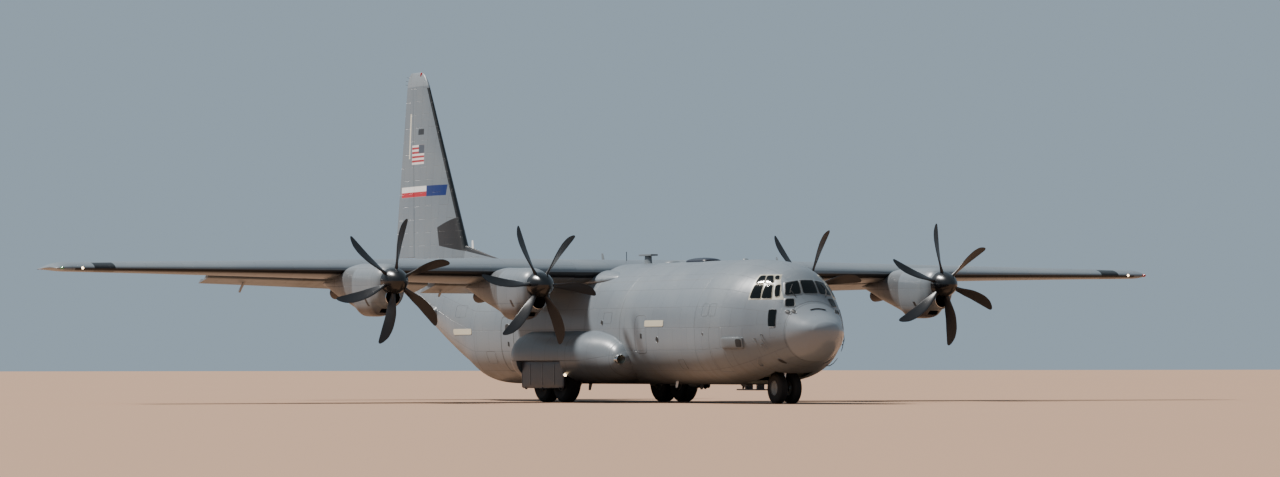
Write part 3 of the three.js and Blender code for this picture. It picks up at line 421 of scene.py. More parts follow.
def dense(outline, count):
    """The same closed outline with points spread evenly along it."""
    ring = np.vstack([outline, outline[:1]])
    run = np.concatenate([[0], np.cumsum(np.linalg.norm(np.diff(ring, axis=0), axis=1))])
    along = np.linspace(0, run[-1], count, endpoint=False)
    return np.stack([np.interp(along, run, ring[:, k]) for k in (0, 1)], -1)


def box_outline(first, second, radius=0.08, count=64):
    """A rectangle between two values of each axis, with rounded corners and evenly spread points."""
    (a, b), (c, d) = first, second
    return dense(rounded([[a, c], [b, c], [b, d], [a, d]], radius), count)


def disc_outline(centre, radius, count=32, squash=1.0):
    """A circle, or an ellipse that is squashed along the second axis."""
    turn = np.linspace(0, TURN, count, endpoint=False)
    return np.stack([centre[0] + radius * np.cos(turn), centre[1] + radius * squash * np.sin(turn)], -1)


def plate(outline, place, outer, inner, rings=6, crown=0.0):
    """A thick plate: an outline shrunk to its middle in rings, laid on a skin by place, at two depths.

    place takes the outline's two columns and how far a point stands out of the skin. A crown raises the
    middle of the outer face as a quarter circle does."""
    middle = outline.mean(0)
    share = np.sin(np.linspace(0, np.pi / 2, rings + 1))[:, None, None]
    face = middle + share * (outline - middle)
    top = place(face[..., 0], face[..., 1], outer + crown * np.sqrt(1 - np.minimum(share[..., 0], 1) ** 2))
    bottom = place(face[::-1, :, 0], face[::-1, :, 1], inner)
    return shell(net(np.concatenate([top, bottom]), round_columns=True, caps=False))


def rim(outline, width, place, outer, inner):
    """A frame of even width round an outline, laid on a skin, with a slight round on its face."""
    middle = outline.mean(0)
    away = outline - middle
    wide = outline + away / np.linalg.norm(away, axis=1)[:, None] * width
    rows = [(outline, inner), (outline, outer * 0.7 + inner * 0.3), ((outline + wide) / 2, outer),
            (wide, outer * 0.6 + inner * 0.4), (wide, inner)]
    grid = np.stack([place(line[:, 0], line[:, 1], np.full(len(line), out)) for line, out in rows])
    return shell(net(grid, round_rows=True, round_columns=True))


def lathe(profile, centre, axis, sides=48):
    """A profile of (radius, distance along) turned about a line through a point."""
    profile = np.asarray(profile, float)
    axis = np.asarray(axis, float) / np.linalg.norm(axis)
    other = np.array([0.0, 0.0, 1.0]) if abs(axis[2]) < 0.9 else np.array([0.0, 1.0, 0.0])
    u = np.cross(axis, other)
    u /= np.linalg.norm(u)
    v = np.cross(axis, u)
    turn = np.linspace(0, TURN, sides, endpoint=False)[None, :, None]
    grid = np.asarray(centre) + profile[:, 1, None, None] * axis + profile[:, 0, None, None] * (
        np.cos(turn) * u + np.sin(turn) * v)
    closed = profile[0, 0] > 1e-9 and profile[-1, 0] > 1e-9
    return shell(net(grid, round_rows=closed, round_columns=True, caps=False))


def tube(path, radius, sides=12):
    """A round bar along a path, of one radius or of one for each point, with flat ends."""
    path = np.asarray(path, float)
    along = np.gradient(path, axis=0)
    along /= np.linalg.norm(along, axis=1)[:, None]
    other = np.array([0.0, 0.0, 1.0]) if np.abs(along[:, 2]).max() < 0.9 else np.array([0.0, 1.0, 0.0])
    u = np.cross(along, other)
    u /= np.linalg.norm(u, axis=1)[:, None]
    v = np.cross(along, u)
    turn = np.linspace(0, TURN, sides, endpoint=False)[None, :, None]
    size = np.broadcast_to(radius, len(path))[:, None, None]
    return shell(net(path[:, None] + size * (np.cos(turn) * u[:, None] + np.sin(turn) * v[:, None]),
                     round_columns=True))


def spot(station, y, z):
    """One point."""
    return np.array([at(station), y, z], float)


# Hull

# Rows: station, half width, top, bottom, height of the widest line, fullness of the belly
HULL = [
    [0.15, 0.45, 2.57, 1.88, 2.30, 2.0], [0.32, 0.62, 2.68, 1.70, 2.29, 2.0],
    [0.60, 0.83, 2.85, 1.49, 2.28, 2.0],
    [0.95, 1.03, 3.15, 1.34, 2.27, 2.1], [1.15, 1.12, 3.38, 1.29, 2.27, 2.15],
    [1.50, 1.28, 3.86, 1.19, 2.28, 2.2],
    [2.05, 1.52, 4.26, 1.03, 2.28, 2.4], [2.70, 1.80, 4.44, 0.87, 2.33, 2.6],
    [3.60, 2.05, 4.54, 0.71, 2.40, 2.8],
    [5.05, 2.17, 4.60, 0.60, 2.44, 3.0], [22.13, 2.17, 4.60, 0.60, 2.44, 3.0],
    [23.80, 2.10, 4.64, 1.08, 2.75, 2.8],
    [25.45, 1.90, 4.68, 1.62, 3.05, 2.7], [27.20, 1.59, 4.74, 2.18, 3.38, 2.6],
    [28.75, 1.28, 4.79, 2.69, 3.66, 2.5],
    [30.60, 0.96, 4.85, 3.30, 4.02, 2.4], [32.20, 0.70, 4.92, 3.82, 4.32, 2.3],
    [33.60, 0.46, 4.99, 4.24, 4.58, 2.2],
    [34.20, 0.24, 5.00, 4.48, 4.72, 2.0], [34.36, 0.10, 4.86, 4.62, 4.74, 2.0],
]
NOSE_ROUND = 0.15
WALL = 0.10
JOINTS = {"radome": 0.95, "nose": 5.05, "wing": 13.2, "well": 18.66, "ramp": 22.13, "ramp_end": 25.45}
DOOR_END = 30.1
BUTT = 0.004
AROUND = 96


def hull_rows(station):
    """Half width, top, bottom, middle and fullness at a station; the tip of the nose is round."""
    half, top, bottom, middle, full = columns(HULL, station)
    tip = np.sqrt(np.clip(np.asarray(station, float) / NOSE_ROUND, 0.0, 1.0))
    return half * tip, middle + (top - middle) * tip, middle + (bottom - middle) * tip, middle, full


def hull(station, turn, out=0.0):
    """A point on the hull: an ellipse above the widest line, and below it a fuller curve, x^n + y^n = 1."""
    half, top, bottom, middle, full = hull_rows(station)
    side, up = np.sin(turn), np.cos(turn)
    power = np.where(up > 0, 2.0, full)
    reach = (np.abs(side) ** power + np.abs(up) ** power) ** (-1 / power)
    height = np.where(up > 0, top - middle, middle - bottom) + out
    return points(station, (half + out) * side * reach, middle + height * up * reach)


def hull_beside(side):
    """Lays (station, z) on one side of the hull."""
    def place(station, z, out):
        half, top, bottom, middle, full = hull_rows(station)
        power = np.where(z > middle, 2.0, full)
        share = np.abs(z - middle) / (np.where(z > middle, top - middle, middle - bottom) + out)
        return points(station, side * (half + out) * (1 - np.clip(share, 0, 1) ** power) ** (1 / power), z)
    return place


def hull_under(station, y, out=0.0):
    """Lays (station, y) on the belly."""
    half, _, bottom, middle, full = hull_rows(station)
    share = np.clip(np.abs(y) / (half + out), 0, 1)
    return points(station, y, middle - (middle - bottom + out) * (1 - share**full) ** (1 / full))


def hull_over(station, y, out=0.0):
    """Lays (station, y) on the top."""
    half, top, _, middle, _ = hull_rows(station)
    return points(station, y, middle + (top - middle + out)
                  * np.sqrt(1 - np.clip(np.abs(y) / (half + out), 0, 1) ** 2))


def hull_ahead(y, z, out=0.0):
    """Lays (y, z) on the face of the nose: the station is found by halving a span of stations."""
    y, z = np.broadcast_arrays(np.asarray(y, float), np.asarray(z, float))
    low, high = np.full(y.shape, 0.3), np.full(y.shape, 4.0)
    for _ in range(30):
        station = (low + high) / 2
        half, top, bottom, middle, full = hull_rows(station)
        power = np.where(z > middle, 2.0, full)
        level = (np.abs(y) / (half + out)) ** power + (
            np.abs(z - middle) / (np.where(z > middle, top - middle, middle - bottom) + out)) ** power
        low, high = np.where(level > 1, station, low), np.where(level > 1, high, station)
    return points((low + high) / 2, y, z)


def in_hull(place, out):
    """Whether points lie inside the hull grown by a distance."""
    station = LENGTH / 2 - place[:, 0]
    half, top, bottom, middle, full = hull_rows(np.clip(station, 0.02, LENGTH))
    up = place[:, 2] > middle
    power = np.where(up, 2.0, full)
    reach = np.where(up, top - middle, middle - bottom) + out
    return (np.abs(place[:, 1]) / (half + out)) ** power + (np.abs(place[:, 2] - middle) / reach) ** power < 1


def hull_shell(front, rear, rows):
    """A stretch of hull as a wall: the outer skin, then the inner one back again."""
    station = np.linspace(front, rear, rows)[:, None]
    turn = np.linspace(0, TURN, AROUND, endpoint=False)[None, :]
    return shell(net(np.concatenate([hull(station, turn), hull(station[::-1], turn, -WALL)]),
                     round_rows=True, round_columns=True))


CREW_DOOR = box_outline((3.38, 4.20), (0.98, 2.45), 0.12, 72)
SIDE_DOOR = box_outline((18.88, 19.86), (1.04, 2.86), 0.16, 72)
RAMP_HALF = (1.50, 1.36)
RAMP_SLOPE = (RAMP_HALF[0] - RAMP_HALF[1]) / 3.45
RAMP_TOP = (1.03, 1.94)
RAMP_REAR = {"top": 25.31, "bottom": 25.41}
DOOR_HALF = 0.55
NOSE_WELL = {"stations": (2.30, 4.30), "widths": (-0.70, 0.70), "top": 1.78}
MAIN_WELL = {"stations": (13.62, 17.06), "inner": 1.60, "top": 2.02}
GAP = 0.016
SKIN_DEPTH = -0.012


def lined(made):
    """Gives a hull piece its lining wherever a face lies below the outer skin."""
    second_finish(made, lambda middle: in_hull(middle, SKIN_DEPTH))


def grow(outline, by):
    """An outline moved away from its middle by a distance."""
    away = outline - outline.mean(0)
    return outline + away / np.linalg.norm(away, axis=1)[:, None] * by


def build_hull(skin, lining):
    """The six stretches of hull with their doors and openings."""
    stations = np.linspace(0, np.sqrt(JOINTS["radome"]), 26)[:, None] ** 2
    turn = np.linspace(0, TURN, AROUND, endpoint=False)[None, :]
    piece("radome_skin", [shell(net(hull(stations, turn), round_columns=True))], skin["radome"],
          node="radome")
    nose = piece("nose_skin", [hull_shell(0.953, JOINTS["nose"], 60)], [skin["nose"], lining],
                 node="nose_section")
    holes = [prism(grow(outline, -0.02), "y", side * 0.4, side * 2.4) for outline in
             [dense(rounded(corners, 0.05), 24) for corners in [*SIDE_PANES, CORNER_PANE]]
             for side in (1, -1)]
    holes += [prism(grow(dense(rounded(corners, 0.05), 24), -0.02), "x", 0.9, 2.1) for corners in FRONT_PANES]
    cut(nose, [prism(box_outline((3.312, 4.22), (0.945, 2.47), 0.13, 72), "y", 1.0, 3.0),
               block(NOSE_WELL["stations"], NOSE_WELL["widths"], (-1, NOSE_WELL["top"])), *holes])
    lined(nose)
    well_box("nose_well", *NOSE_WELL.values(), lining)
    door = piece("crew_door_panel", [plate(CREW_DOOR, hull_beside(1), 0.0, -WALL, 10)],
                 [skin["nose"], lining],
          "crew_door", "crew_door")
    lined(door)
    forward = piece("forward_skin", [hull_shell(JOINTS["nose"] + BUTT, JOINTS["wing"], 12)],
                    [skin["hull"], lining], node="forward_fuselage")
    lined(forward)
    centre = piece("centre_skin", [hull_shell(JOINTS["wing"] + BUTT, JOINTS["well"], 12)],
                   [skin["hull"], lining], node="centre_fuselage")
    cut(centre, [block(MAIN_WELL["stations"], (side * MAIN_WELL["inner"], side * 2.56),
                       (-1, MAIN_WELL["top"])) for side in (1, -1)])
    lined(centre)
    for name, side in SIDES.items():
        widths = tuple(sorted((side * MAIN_WELL["inner"], side * 2.50)))
        well_box(f"main_well_{name}", MAIN_WELL["stations"], widths, MAIN_WELL["top"], lining)
    rear = piece("rear_skin", [hull_shell(JOINTS["well"] + BUTT, JOINTS["ramp_end"], 40)],
                 [skin["hull"], lining], node="rear_fuselage")
    ramp_hole = hexa([(22.098, 1.516, 1.745), (26.45, 1.516 - RAMP_SLOPE * 4.32, 2.5)])
    doors = [prism(grow(SIDE_DOOR, 0.010), "y", side * 1.2, side * 3.0) for side in (1, -1)]
    cut(rear, [ramp_hole, *doors])
    lined(rear)
    for name, side in SIDES.items():
        panel = piece(f"paratroop_panel_{name}", [plate(SIDE_DOOR, hull_beside(side), 0.0, -WALL, 12)],
                      [skin["hull"], lining], node=f"paratroop_door_{name}")
        lined(panel)
    station = np.concatenate([np.linspace(JOINTS["ramp_end"] + BUTT, 33.6, 46),
                              LENGTH - 0.76 * np.linspace(1, 0, 14)[1:] ** 2])[:, None]
    outer = hull(station, turn)
    inner = hull(np.linspace(JOINTS["ramp_end"] + BUTT, 33.2, 24)[:, None], turn, -WALL)
    tail = piece("tail_skin", [shell(
        net(np.concatenate([inner[:1], outer]), round_columns=True, caps=False),
        net(inner, round_columns=True, caps=False), fill(outer[-1]), fill(inner[-1]))],
                 [skin["hull"], lining], node="tail_section")
    cut(tail, [hexa([(24.85, 1.376, 2.32), (25.45, 1.376, 2.5), (30.132, 0.566, 3.91)])])
    lined(tail)
    build_ramp(skin, lining)


def fill(ring):
    """A flat end to a ring of points."""
    return ring, np.zeros((0, 4), int), [np.arange(len(ring))]


def hexa(rows):
    """A tapering block from below the ground: rows of station, half width and top."""
    grid = [[(s, -half, -1), (s, half, -1), (s, half, top), (s, -half, top)] for s, half, top in rows]
    grid = np.array(grid, float)
    return shell(net(points(grid[..., 0], grid[..., 1], grid[..., 2]), round_columns=True))


def well_box(name, stations, widths, top, lining):
    """The lining of a wheel well: a box open below."""
    (a, b), (c, d), skin = stations, widths, 0.03
    box = piece(name, [block((a - skin, b + skin), (c - skin, d + skin), (0.85, top + skin))], lining)
    cut(box, [block((a, b), (c, d), (0.0, top))])
    cut(box, [hull_solid(1.0, 30.0)], keep=True)


def hull_solid(front, rear, out=-0.02):
    """A closed stretch of hull, as a cutter."""
    station = np.linspace(front, rear, 60)[:, None]
    turn = np.linspace(0, TURN, 48, endpoint=False)[None, :]
    return shell(net(hull(station, turn, out), round_columns=True))


def build_ramp(skin, lining):
    """The ramp, a wedge with a flat deck, and the aft door, a curved panel; both are loops carried aft."""
    share = np.linspace(0, 1, 40)[:, None]
    across = np.linspace(-1, 1, 31)[None, :]
    hinge = JOINTS["ramp"]
    low_station = hinge + share * (RAMP_REAR["bottom"] - hinge)
    half = RAMP_HALF[0] - RAMP_SLOPE * (low_station - hinge)
    low = hull_under(low_station + 0 * across, half * across)
    top_station = hinge + share * (RAMP_REAR["top"] - hinge)
    deck_height = RAMP_TOP[0] + share * (RAMP_TOP[1] - RAMP_TOP[0])
    top = points(top_station + 0 * across, (half * across)[:, ::-1], deck_height + 0 * across)
    ramp = piece("ramp_wedge", [shell(net(np.concatenate([low, top], 1), round_columns=True))],
                 [skin["hull"], lining],
                 "ramp", "ramp")
    lined(ramp)
    start = RAMP_REAR["bottom"] + 0.03
    station = start + share * (DOOR_END - start)
    half = np.interp(station, [JOINTS["ramp_end"], DOOR_END], [RAMP_HALF[1], DOOR_HALF])
    outer = hull_under(station + 0 * across, half * across)
    inner = hull_under(station + 0 * across, (half * across)[:, ::-1], -WALL)
    door = piece("aft_door_panel", [shell(net(np.concatenate([outer, inner], 1), round_columns=True))],
                 [skin["hull"], lining], "aft_cargo_door", "aft_cargo_door")
    lined(door)


# Cockpit windows: side panes as (station, z) corners, front panes as (y, z) corners

BAND = [[0.80, 3.26], [2.64, 3.26], [2.80, 4.10], [0.80, 4.10]]
SIDE_PANES = [
    [[2.47, 3.32], [2.53, 3.73], [2.26, 3.73], [2.11, 3.32]],
    [[2.05, 3.32], [2.15, 3.72], [1.93, 3.72], [1.73, 3.32]],
    [[1.63, 3.36], [1.83, 3.71], [1.73, 3.74], [1.53, 3.39]],
    [[2.56, 3.81], [2.61, 4.03], [2.43, 4.03], [2.28, 3.81]],
    [[2.21, 3.81], [2.37, 4.03], [2.19, 4.03], [1.98, 3.82]],
    [[2.01, 3.925], [1.91, 3.92], [2.01, 4.03], [2.11, 4.03]],
]
FRONT_PANES = [
    [[-0.25, 3.48], [0.25, 3.48], [0.23, 3.87], [-0.23, 3.87]],
    [[0.33, 3.47], [0.80, 3.42], [0.67, 3.79], [0.29, 3.86]],
    [[-0.33, 3.47], [-0.80, 3.42], [-0.67, 3.79], [-0.29, 3.86]],
    [[0.66, 3.07], [0.89, 3.06], [0.83, 3.28], [0.60, 3.29]],
    [[-0.66, 3.07], [-0.89, 3.06], [-0.83, 3.28], [-0.60, 3.29]],
]
CORNER_PANE = [[1.33, 2.42], [1.58, 2.42], [1.66, 2.96], [1.41, 2.96]]


def build_windows(glass, cream, grey, seal):
    """Panes let into the nose, each with a seal and a frame; the corner panes stand alone."""
    panes, seals, frames, fronts = [], [], [], []
    for corners in SIDE_PANES:
        outline = dense(rounded(corners, 0.05), 48)
        for side in (1, -1):
            place = hull_beside(side)
            panes.append(plate(outline, place, 0.012, -0.03, 4))
            seals.append(rim(outline, 0.014, place, 0.018, -0.02))
            frames.append(rim(outline + (outline - outline.mean(0)) * 0.06, 0.035, place, 0.013, -0.02))
    for corners in FRONT_PANES:
        outline = dense(rounded(corners, 0.05), 48)
        panes.append(plate(outline, hull_ahead, 0.012, -0.03, 5))
        seals.append(rim(outline, 0.014, hull_ahead, 0.018, -0.02))
        fronts.append(rim(outline + (outline - outline.mean(0)) * 0.06, 0.04, hull_ahead, 0.014, -0.02))
    piece("cockpit_panes", panes, glass, node="cockpit_glass")
    piece("pane_seals", seals, seal)
    piece("side_window_frames", frames, cream, node="cockpit_window_frame")
    piece("front_window_frames", fronts, grey)
    outline = dense(rounded(CORNER_PANE, 0.05), 48)
    for name, side in SIDES.items():
        piece(f"corner_pane_{name}", [plate(outline, hull_beside(side), 0.008, -0.03, 4)], glass,
              node=f"corner_glass_{name}")
        piece(f"corner_seal_{name}", [rim(outline, 0.02, hull_beside(side), 0.014, -0.02)], grey)


# Foils: a section is a loop of (distance along the chord, height) at each place along the span

# Rows: span, leading edge station, chord, height, thickness, incidence
WING = [[0.0, 13.75, 4.88, 4.30, 0.180, 3.0], [5.59, 13.75, 4.88, 4.33, 0.172, 3.0],
        [19.80, 14.33, 2.54, 4.34, 0.122, 0.0],
        [20.205, 14.35, 2.47, 4.342, 0.120, 0.0]]
TAILPLANE = [[0.0, 30.00, 3.20, 4.62, 0.13, 0.0], [7.75, 31.30, 1.36, 4.66, 0.11, 0.0],
             [8.025, 31.35, 1.30, 4.66, 0.11, 0.0]]
FIN = [[4.30, 27.05, 7.05, 0.0, 0.115, 0.0], [5.10, 27.42, 6.54, 0.0, 0.115, 0.0],
       [11.35, 30.94, 1.92, 0.0, 0.12, 0.0],
       [11.84, 31.22, 1.56, 0.0, 0.12, 0.0]]
DORSAL = [[23.40, 4.40, 4.62, 0.05], [23.90, 4.40, 4.80, 0.12], [25.60, 4.40, 5.11, 0.26],
          [27.60, 4.50, 5.48, 0.36],
          [28.60, 4.50, 5.62, 0.34]]
FLAP = {"nose": 0.765, "shroud": 0.885, "lip": 0.035, "top": 0.115, "ahead": 0.10, "below": 2.3, "rest": 15.0}
FLAP_SPANS = {"inner": (2.30, 5.50), "outer": (5.70, 13.85)}
AILERON = {"span": (14.03, 19.45), "hinge": 0.75, "lip": 0.004}
ELEVATOR = {"span": (0.95, 7.60), "hinge": 0.64, "lip": 0.025}
RUDDER = {"span": (5.14, 11.30), "hinge": 0.66, "lip": 0.024}


class Foil:
    """A lifting surface: its table, its camber, and a tip that rounds off over its last stretch.

    At the tip the edges draw in, and the thickness falls to nothing as a quarter ellipse does."""

    def __init__(self, table, camber, tip, shrink, upright=False):
        self.table, self.camber, self.tip, self.shrink, self.upright = table, camber, tip, shrink, upright

    def row(self, span):
        """Leading edge, chord, height, thickness and incidence at a span."""
        edge, chord, height, thick, incidence = straight(self.table, span)
        end = self.table[-1][0]
        fall = np.sqrt(1 - np.clip((span - self.tip) / (end - self.tip), 0, 1) ** 2)
        edge = edge + self.shrink[0] * (1 - fall)
        return edge, chord - sum(self.shrink) * (1 - fall), height, thick * fall, np.radians(incidence)

    def skin(self, span, share, side):
        """Distance along the chord and height above it, on the upper (1) or lower (-1) skin, or midway (0).

        The middle line is two parabolas, and the half thickness is the usual four-digit foil's polynomial."""
        _, chord, _, thick, _ = self.row(span)
        c = self.camber
        ahead, behind = c / 0.16 * (0.8 * share - share**2), c / 0.36 * (0.2 + 0.8 * share - share**2)
        bow = np.where(share < 0.4, ahead, behind)
        half = 5 * thick * (0.2969 * np.sqrt(share) - 0.126 * share - 0.3516 * share**2 + 0.2843 * share**3
                            - 0.1006 * share**4)
        return share * chord, chord * (bow + side * half)

    def place(self, span, along, up):
        """Sets a section at its span, turned by its incidence."""
        edge, _, height, _, turn = self.row(span)
        station = edge + along * np.cos(turn) + up * np.sin(turn)
        level = height + up * np.cos(turn) - along * np.sin(turn)
        return points(station, level, span) if self.upright else points(station, span, level)

    def deep(self, span, share):
        """Half the thickness at a share of the chord."""
        return (self.skin(span, share, 1)[1] - self.skin(span, share, -1)[1]) / 2

    def hinge(self, span, share):
        """A point midway between the skins."""
        along, up = self.skin(span, share, 0)
        return self.place(span, along, up)

    def grid(self, spans, section):
        """The net of one section carried along the span."""
        span = np.asarray(spans, float)[:, None]
        along, up = section(span)
        return net(self.place(span + 0 * along, along, up), round_columns=True)


def spread(low, high, count):
    """Values from low to high, close together near low."""
    return low + (high - low) * (1 - np.cos(np.linspace(0, np.pi / 2, count)))


def whole_section(foil, upper_end=1.0, lower_end=1.0, count=26):
    """The upper skin from rear to nose and the lower one back; short ends give a straight rear wall."""
    def section(span):
        up_share, low_share = spread(0, upper_end, count)[None, ::-1], spread(0, lower_end, count)[None, 1:]
        upper, lower = foil.skin(span, up_share, 1), foil.skin(span, low_share, -1)
        return [np.concatenate([a + 0 * span, b + 0 * span], 1) for a, b in zip(upper, lower)]
    return section


def cove_section(foil, hinge, lip):
    """A fixed section that ends ahead of a hinge in a hollow quarter round the moving piece's nose."""
    def section(span):
        along, up = whole_section(foil, hinge - lip, hinge - lip)(span)
        middle = foil.skin(span, hinge, 0)
        radius = 0.97 * foil.deep(span, hinge) + GAP
        turn = np.radians(np.linspace(-128, -232, 9))[None, :]
        return (np.concatenate([along, middle[0] + radius * np.cos(turn)], 1),
                np.concatenate([up, middle[1] + radius * np.sin(turn)], 1))
    return section


def hinged_section(foil, hinge, count=16):
    """A moving section: a round nose about the hinge, then the two skins to the rear edge."""
    def section(span):
        share = np.linspace(hinge, 1, count)[None, :]
        upper, lower = foil.skin(span, share[:, ::-1], 1), foil.skin(span, share, -1)
        middle, deep = foil.skin(span, hinge, 0), foil.deep(span, hinge)
        turn = np.radians(np.linspace(90, 270, 15))[None, 1:-1]
        nose = middle[0] + deep * np.cos(turn), middle[1] + 0.99 * deep * np.sin(turn)
        return [np.concatenate([u + 0 * span, n, w + 0 * span], 1) for u, n, w in zip(upper, nose, lower)]
    return section


def bay_section(foil, count=26):
    """The wing ahead of a flap: its skins end early, and above the bay runs a thin shroud."""
    def section(span):
        along, up = whole_section(foil, FLAP["shroud"], FLAP["nose"] - 0.045, count)(span)
        share = np.linspace(FLAP["nose"] - 0.045, FLAP["shroud"], 8)[None, :]
        under = foil.skin(span, share, 1)
        return (np.concatenate([along, under[0] + 0 * span], 1),
                np.concatenate([up, under[1] - FLAP["lip"] * (1 - 0.5 * (share > 0.87)) + 0 * span], 1))
    return section


def flap_section(foil, count=20):
    """A flap: full depth at the rear, stepped down where the shroud covers it, round at the nose."""
    def section(span):
        share = np.linspace(FLAP["nose"], 1, count)[None, :]
        along, top = foil.skin(span, share, 1)
        step = np.clip((0.925 - share) / 0.03, 0, 1)
        top = top - FLAP["top"] * step * step * (3 - 2 * step)
        low = foil.skin(span, share, -1)[1]
        radius = (top[:, :1] - low[:, :1]) / 2
        turn = np.radians(np.linspace(90, 270, 13))[None, 1:-1]
        nose = along[:, :1] + radius * np.cos(turn), (top[:, :1] + low[:, :1]) / 2 + radius * np.sin(turn)
        return (np.concatenate([along[:, ::-1], nose[0], along], 1),
                np.concatenate([top[:, ::-1], nose[1], low], 1))
    return section


def turned(shape, line, degrees):
    """Points turned about a line through two points, by the sum of their parts along, across and about it."""
    start, stop = line
    axis = (stop - start) / np.linalg.norm(stop - start)
    arm = shape - start
    c, s = np.cos(np.radians(degrees)), np.sin(np.radians(degrees))
    along = (arm @ axis)[..., None] * axis
    return start + along + (arm - along) * c + np.cross(axis, arm) * s


wing = Foil(WING, 0.022, 19.75, (0.20, 0.95))
tailplane = Foil(TAILPLANE, 0.0, 7.70, (0.40, 0.30))
fin = Foil(FIN, 0.0, 11.30, (0.40, 0.34), upright=True)


def stretch(foil, spans, section, side=1, steps=0.6):
    """One closed length of a foil between two spans."""
    low, high = spans
    rows = max(3, int((high - low) / steps) + 2)
    line = np.linspace(low, high, rows)
    if high >= foil.table[-1][0] - 1e-6:
        line = np.concatenate([line[line < foil.tip], high - (high - foil.tip) * np.linspace(1, 0, 10) ** 2])
    place, quads, ends = foil.grid(line, section)
    return shell((mirror(place) if side < 0 else place, quads, ends))


def flap_line(low, high):
    """The far line that a flap turns about: below the flap's nose at both ends of its span."""
    return [wing.hinge(np.float64(span), FLAP["nose"]) + np.array([FLAP["ahead"], 0, -FLAP["below"]])
            for span in (low, high)]


def track(low, high, share):
    """A curved rail about the flap's far hinge: a bar section carried round an arc."""
    start, stop = flap_line(low, high)
    centre = start + share * (stop - start)
    turn = np.radians(np.linspace(-7.5, 42.5, 21))[:, None]
    radius = np.array([2.222, 2.222, 2.285, 2.285])[None, :]
    side = np.array([-0.03, 0.03, 0.03, -0.03])[None, :]
    grid = np.stack([centre[0] - radius * np.sin(turn), centre[1] + side + 0 * turn,
                     centre[2] + radius * np.cos(turn)], -1)
    return shell(net(grid, round_columns=True))


def both(made):
    """A closed skin and its mirror image."""
    place, faces = made
    return [(place, faces), (mirror(place), faces)]


def build_wing(skin, steel):
    """The wing's centre and outer stretches, the flap rails, the ailerons and the flaps."""
    whole, bay = whole_section(wing), bay_section(wing)
    cove = cove_section(wing, AILERON["hinge"], AILERON["lip"])
    centre = [stretch(wing, (-2.22, 2.22), lambda span: whole(np.abs(span)))]
    centre += both(stretch(wing, (2.22, 5.58), bay)) + both(stretch(wing, (5.58, 5.589), whole))
    piece("wing_centre_skin", centre, skin["wing"], node="wing_centre")
    rails = []
    for low, high in FLAP_SPANS.values():
        for share in (0.18, 0.82):
            rails += both(track(low, high, share))
    piece("flap_rails", rails, steel)
    ends = [(5.591, 5.62, whole), (5.62, 13.93, bay), (13.93, 13.99, whole), (13.99, 19.49, cove),
            (19.49, 20.205, whole)]
    for name, side in SIDES.items():
        piece(f"wing_skin_{name}", [stretch(wing, (a, b), section, side) for a, b, section in ends],
              skin["wing"],
              node=f"wing_outer_{name}")
        piece(f"aileron_skin_{name}",
              [stretch(wing, AILERON["span"], hinged_section(wing, AILERON["hinge"]), side)],
              skin["wing"], f"aileron_{name}", f"aileron_{name}")
        for part, spans in FLAP_SPANS.items():
            place, quads, caps = wing.grid(np.linspace(*spans, 16), flap_section(wing))
            place = turned(place, flap_line(*spans), -FLAP["rest"])
            place = mirror(place) if side < 0 else place
            node = f"flap_{part}_{name}"
            piece(f"{node}_skin", [shell((place, quads, caps))], skin["wing"], node, node)


def build_tail(skin):
    """The tailplane and its elevators, the fin with its dorsal ridge, and the rudder."""
    cove = cove_section(tailplane, ELEVATOR["hinge"], ELEVATOR["lip"])
    middle = whole_section(tailplane, ELEVATOR["hinge"] - 0.03, ELEVATOR["hinge"] - 0.03)
    halves = [stretch(tailplane, (-0.91, 0.91), lambda span: middle(np.abs(span)))]
    halves += both(stretch(tailplane, (0.91, 7.64), cove))
    halves += both(stretch(tailplane, (7.64, 8.025), whole_section(tailplane)))
    piece("stabiliser_skin", halves, skin["tailplane"], node="stabiliser")
    for name, side in SIDES.items():
        node = f"elevator_{name}"
        piece(f"{node}_skin", [stretch(tailplane, ELEVATOR["span"],
                                       hinged_section(tailplane, ELEVATOR["hinge"]), side)],
              skin["tailplane"], node, node)
    upright = [stretch(fin, (4.30, 5.10), whole_section(fin, 0.62, 0.62)),
               stretch(fin, (5.10, 11.34), cove_section(fin, RUDDER["hinge"], RUDDER["lip"])),
               stretch(fin, (11.34, 11.84), whole_section(fin))]
    station = np.linspace(23.40, 28.6, 32)[:, None]
    low, high, side = columns(DORSAL, station)
    turn = np.linspace(0, TURN, 40, endpoint=False)[None, :]
    ridge = (high - 4.3) * np.abs(np.cos(turn)) ** 1.5 * (np.cos(turn) > 0)
    flank = side * np.sin(turn) * np.where(np.cos(turn) > 0, 1 - 0.55 * np.cos(turn), 1.0)
    upright.append(shell(net(points(station + 0 * turn, flank, 4.3 + ridge), round_columns=True)))
    piece("fin_skin", upright, skin["fin"], node="fin")
    piece("rudder_skin", [stretch(fin, RUDDER["span"], hinged_section(fin, RUDDER["hinge"]))], skin["fin"],
          "rudder", "rudder")


# Engines

PROP_STATION = 10.77
ENGINES = [(1, 10.05, 3.93, 12), (2, 4.90, 3.83, 41), (3, -4.90, 3.83, 27), (4, -10.05, 3.93, 52)]
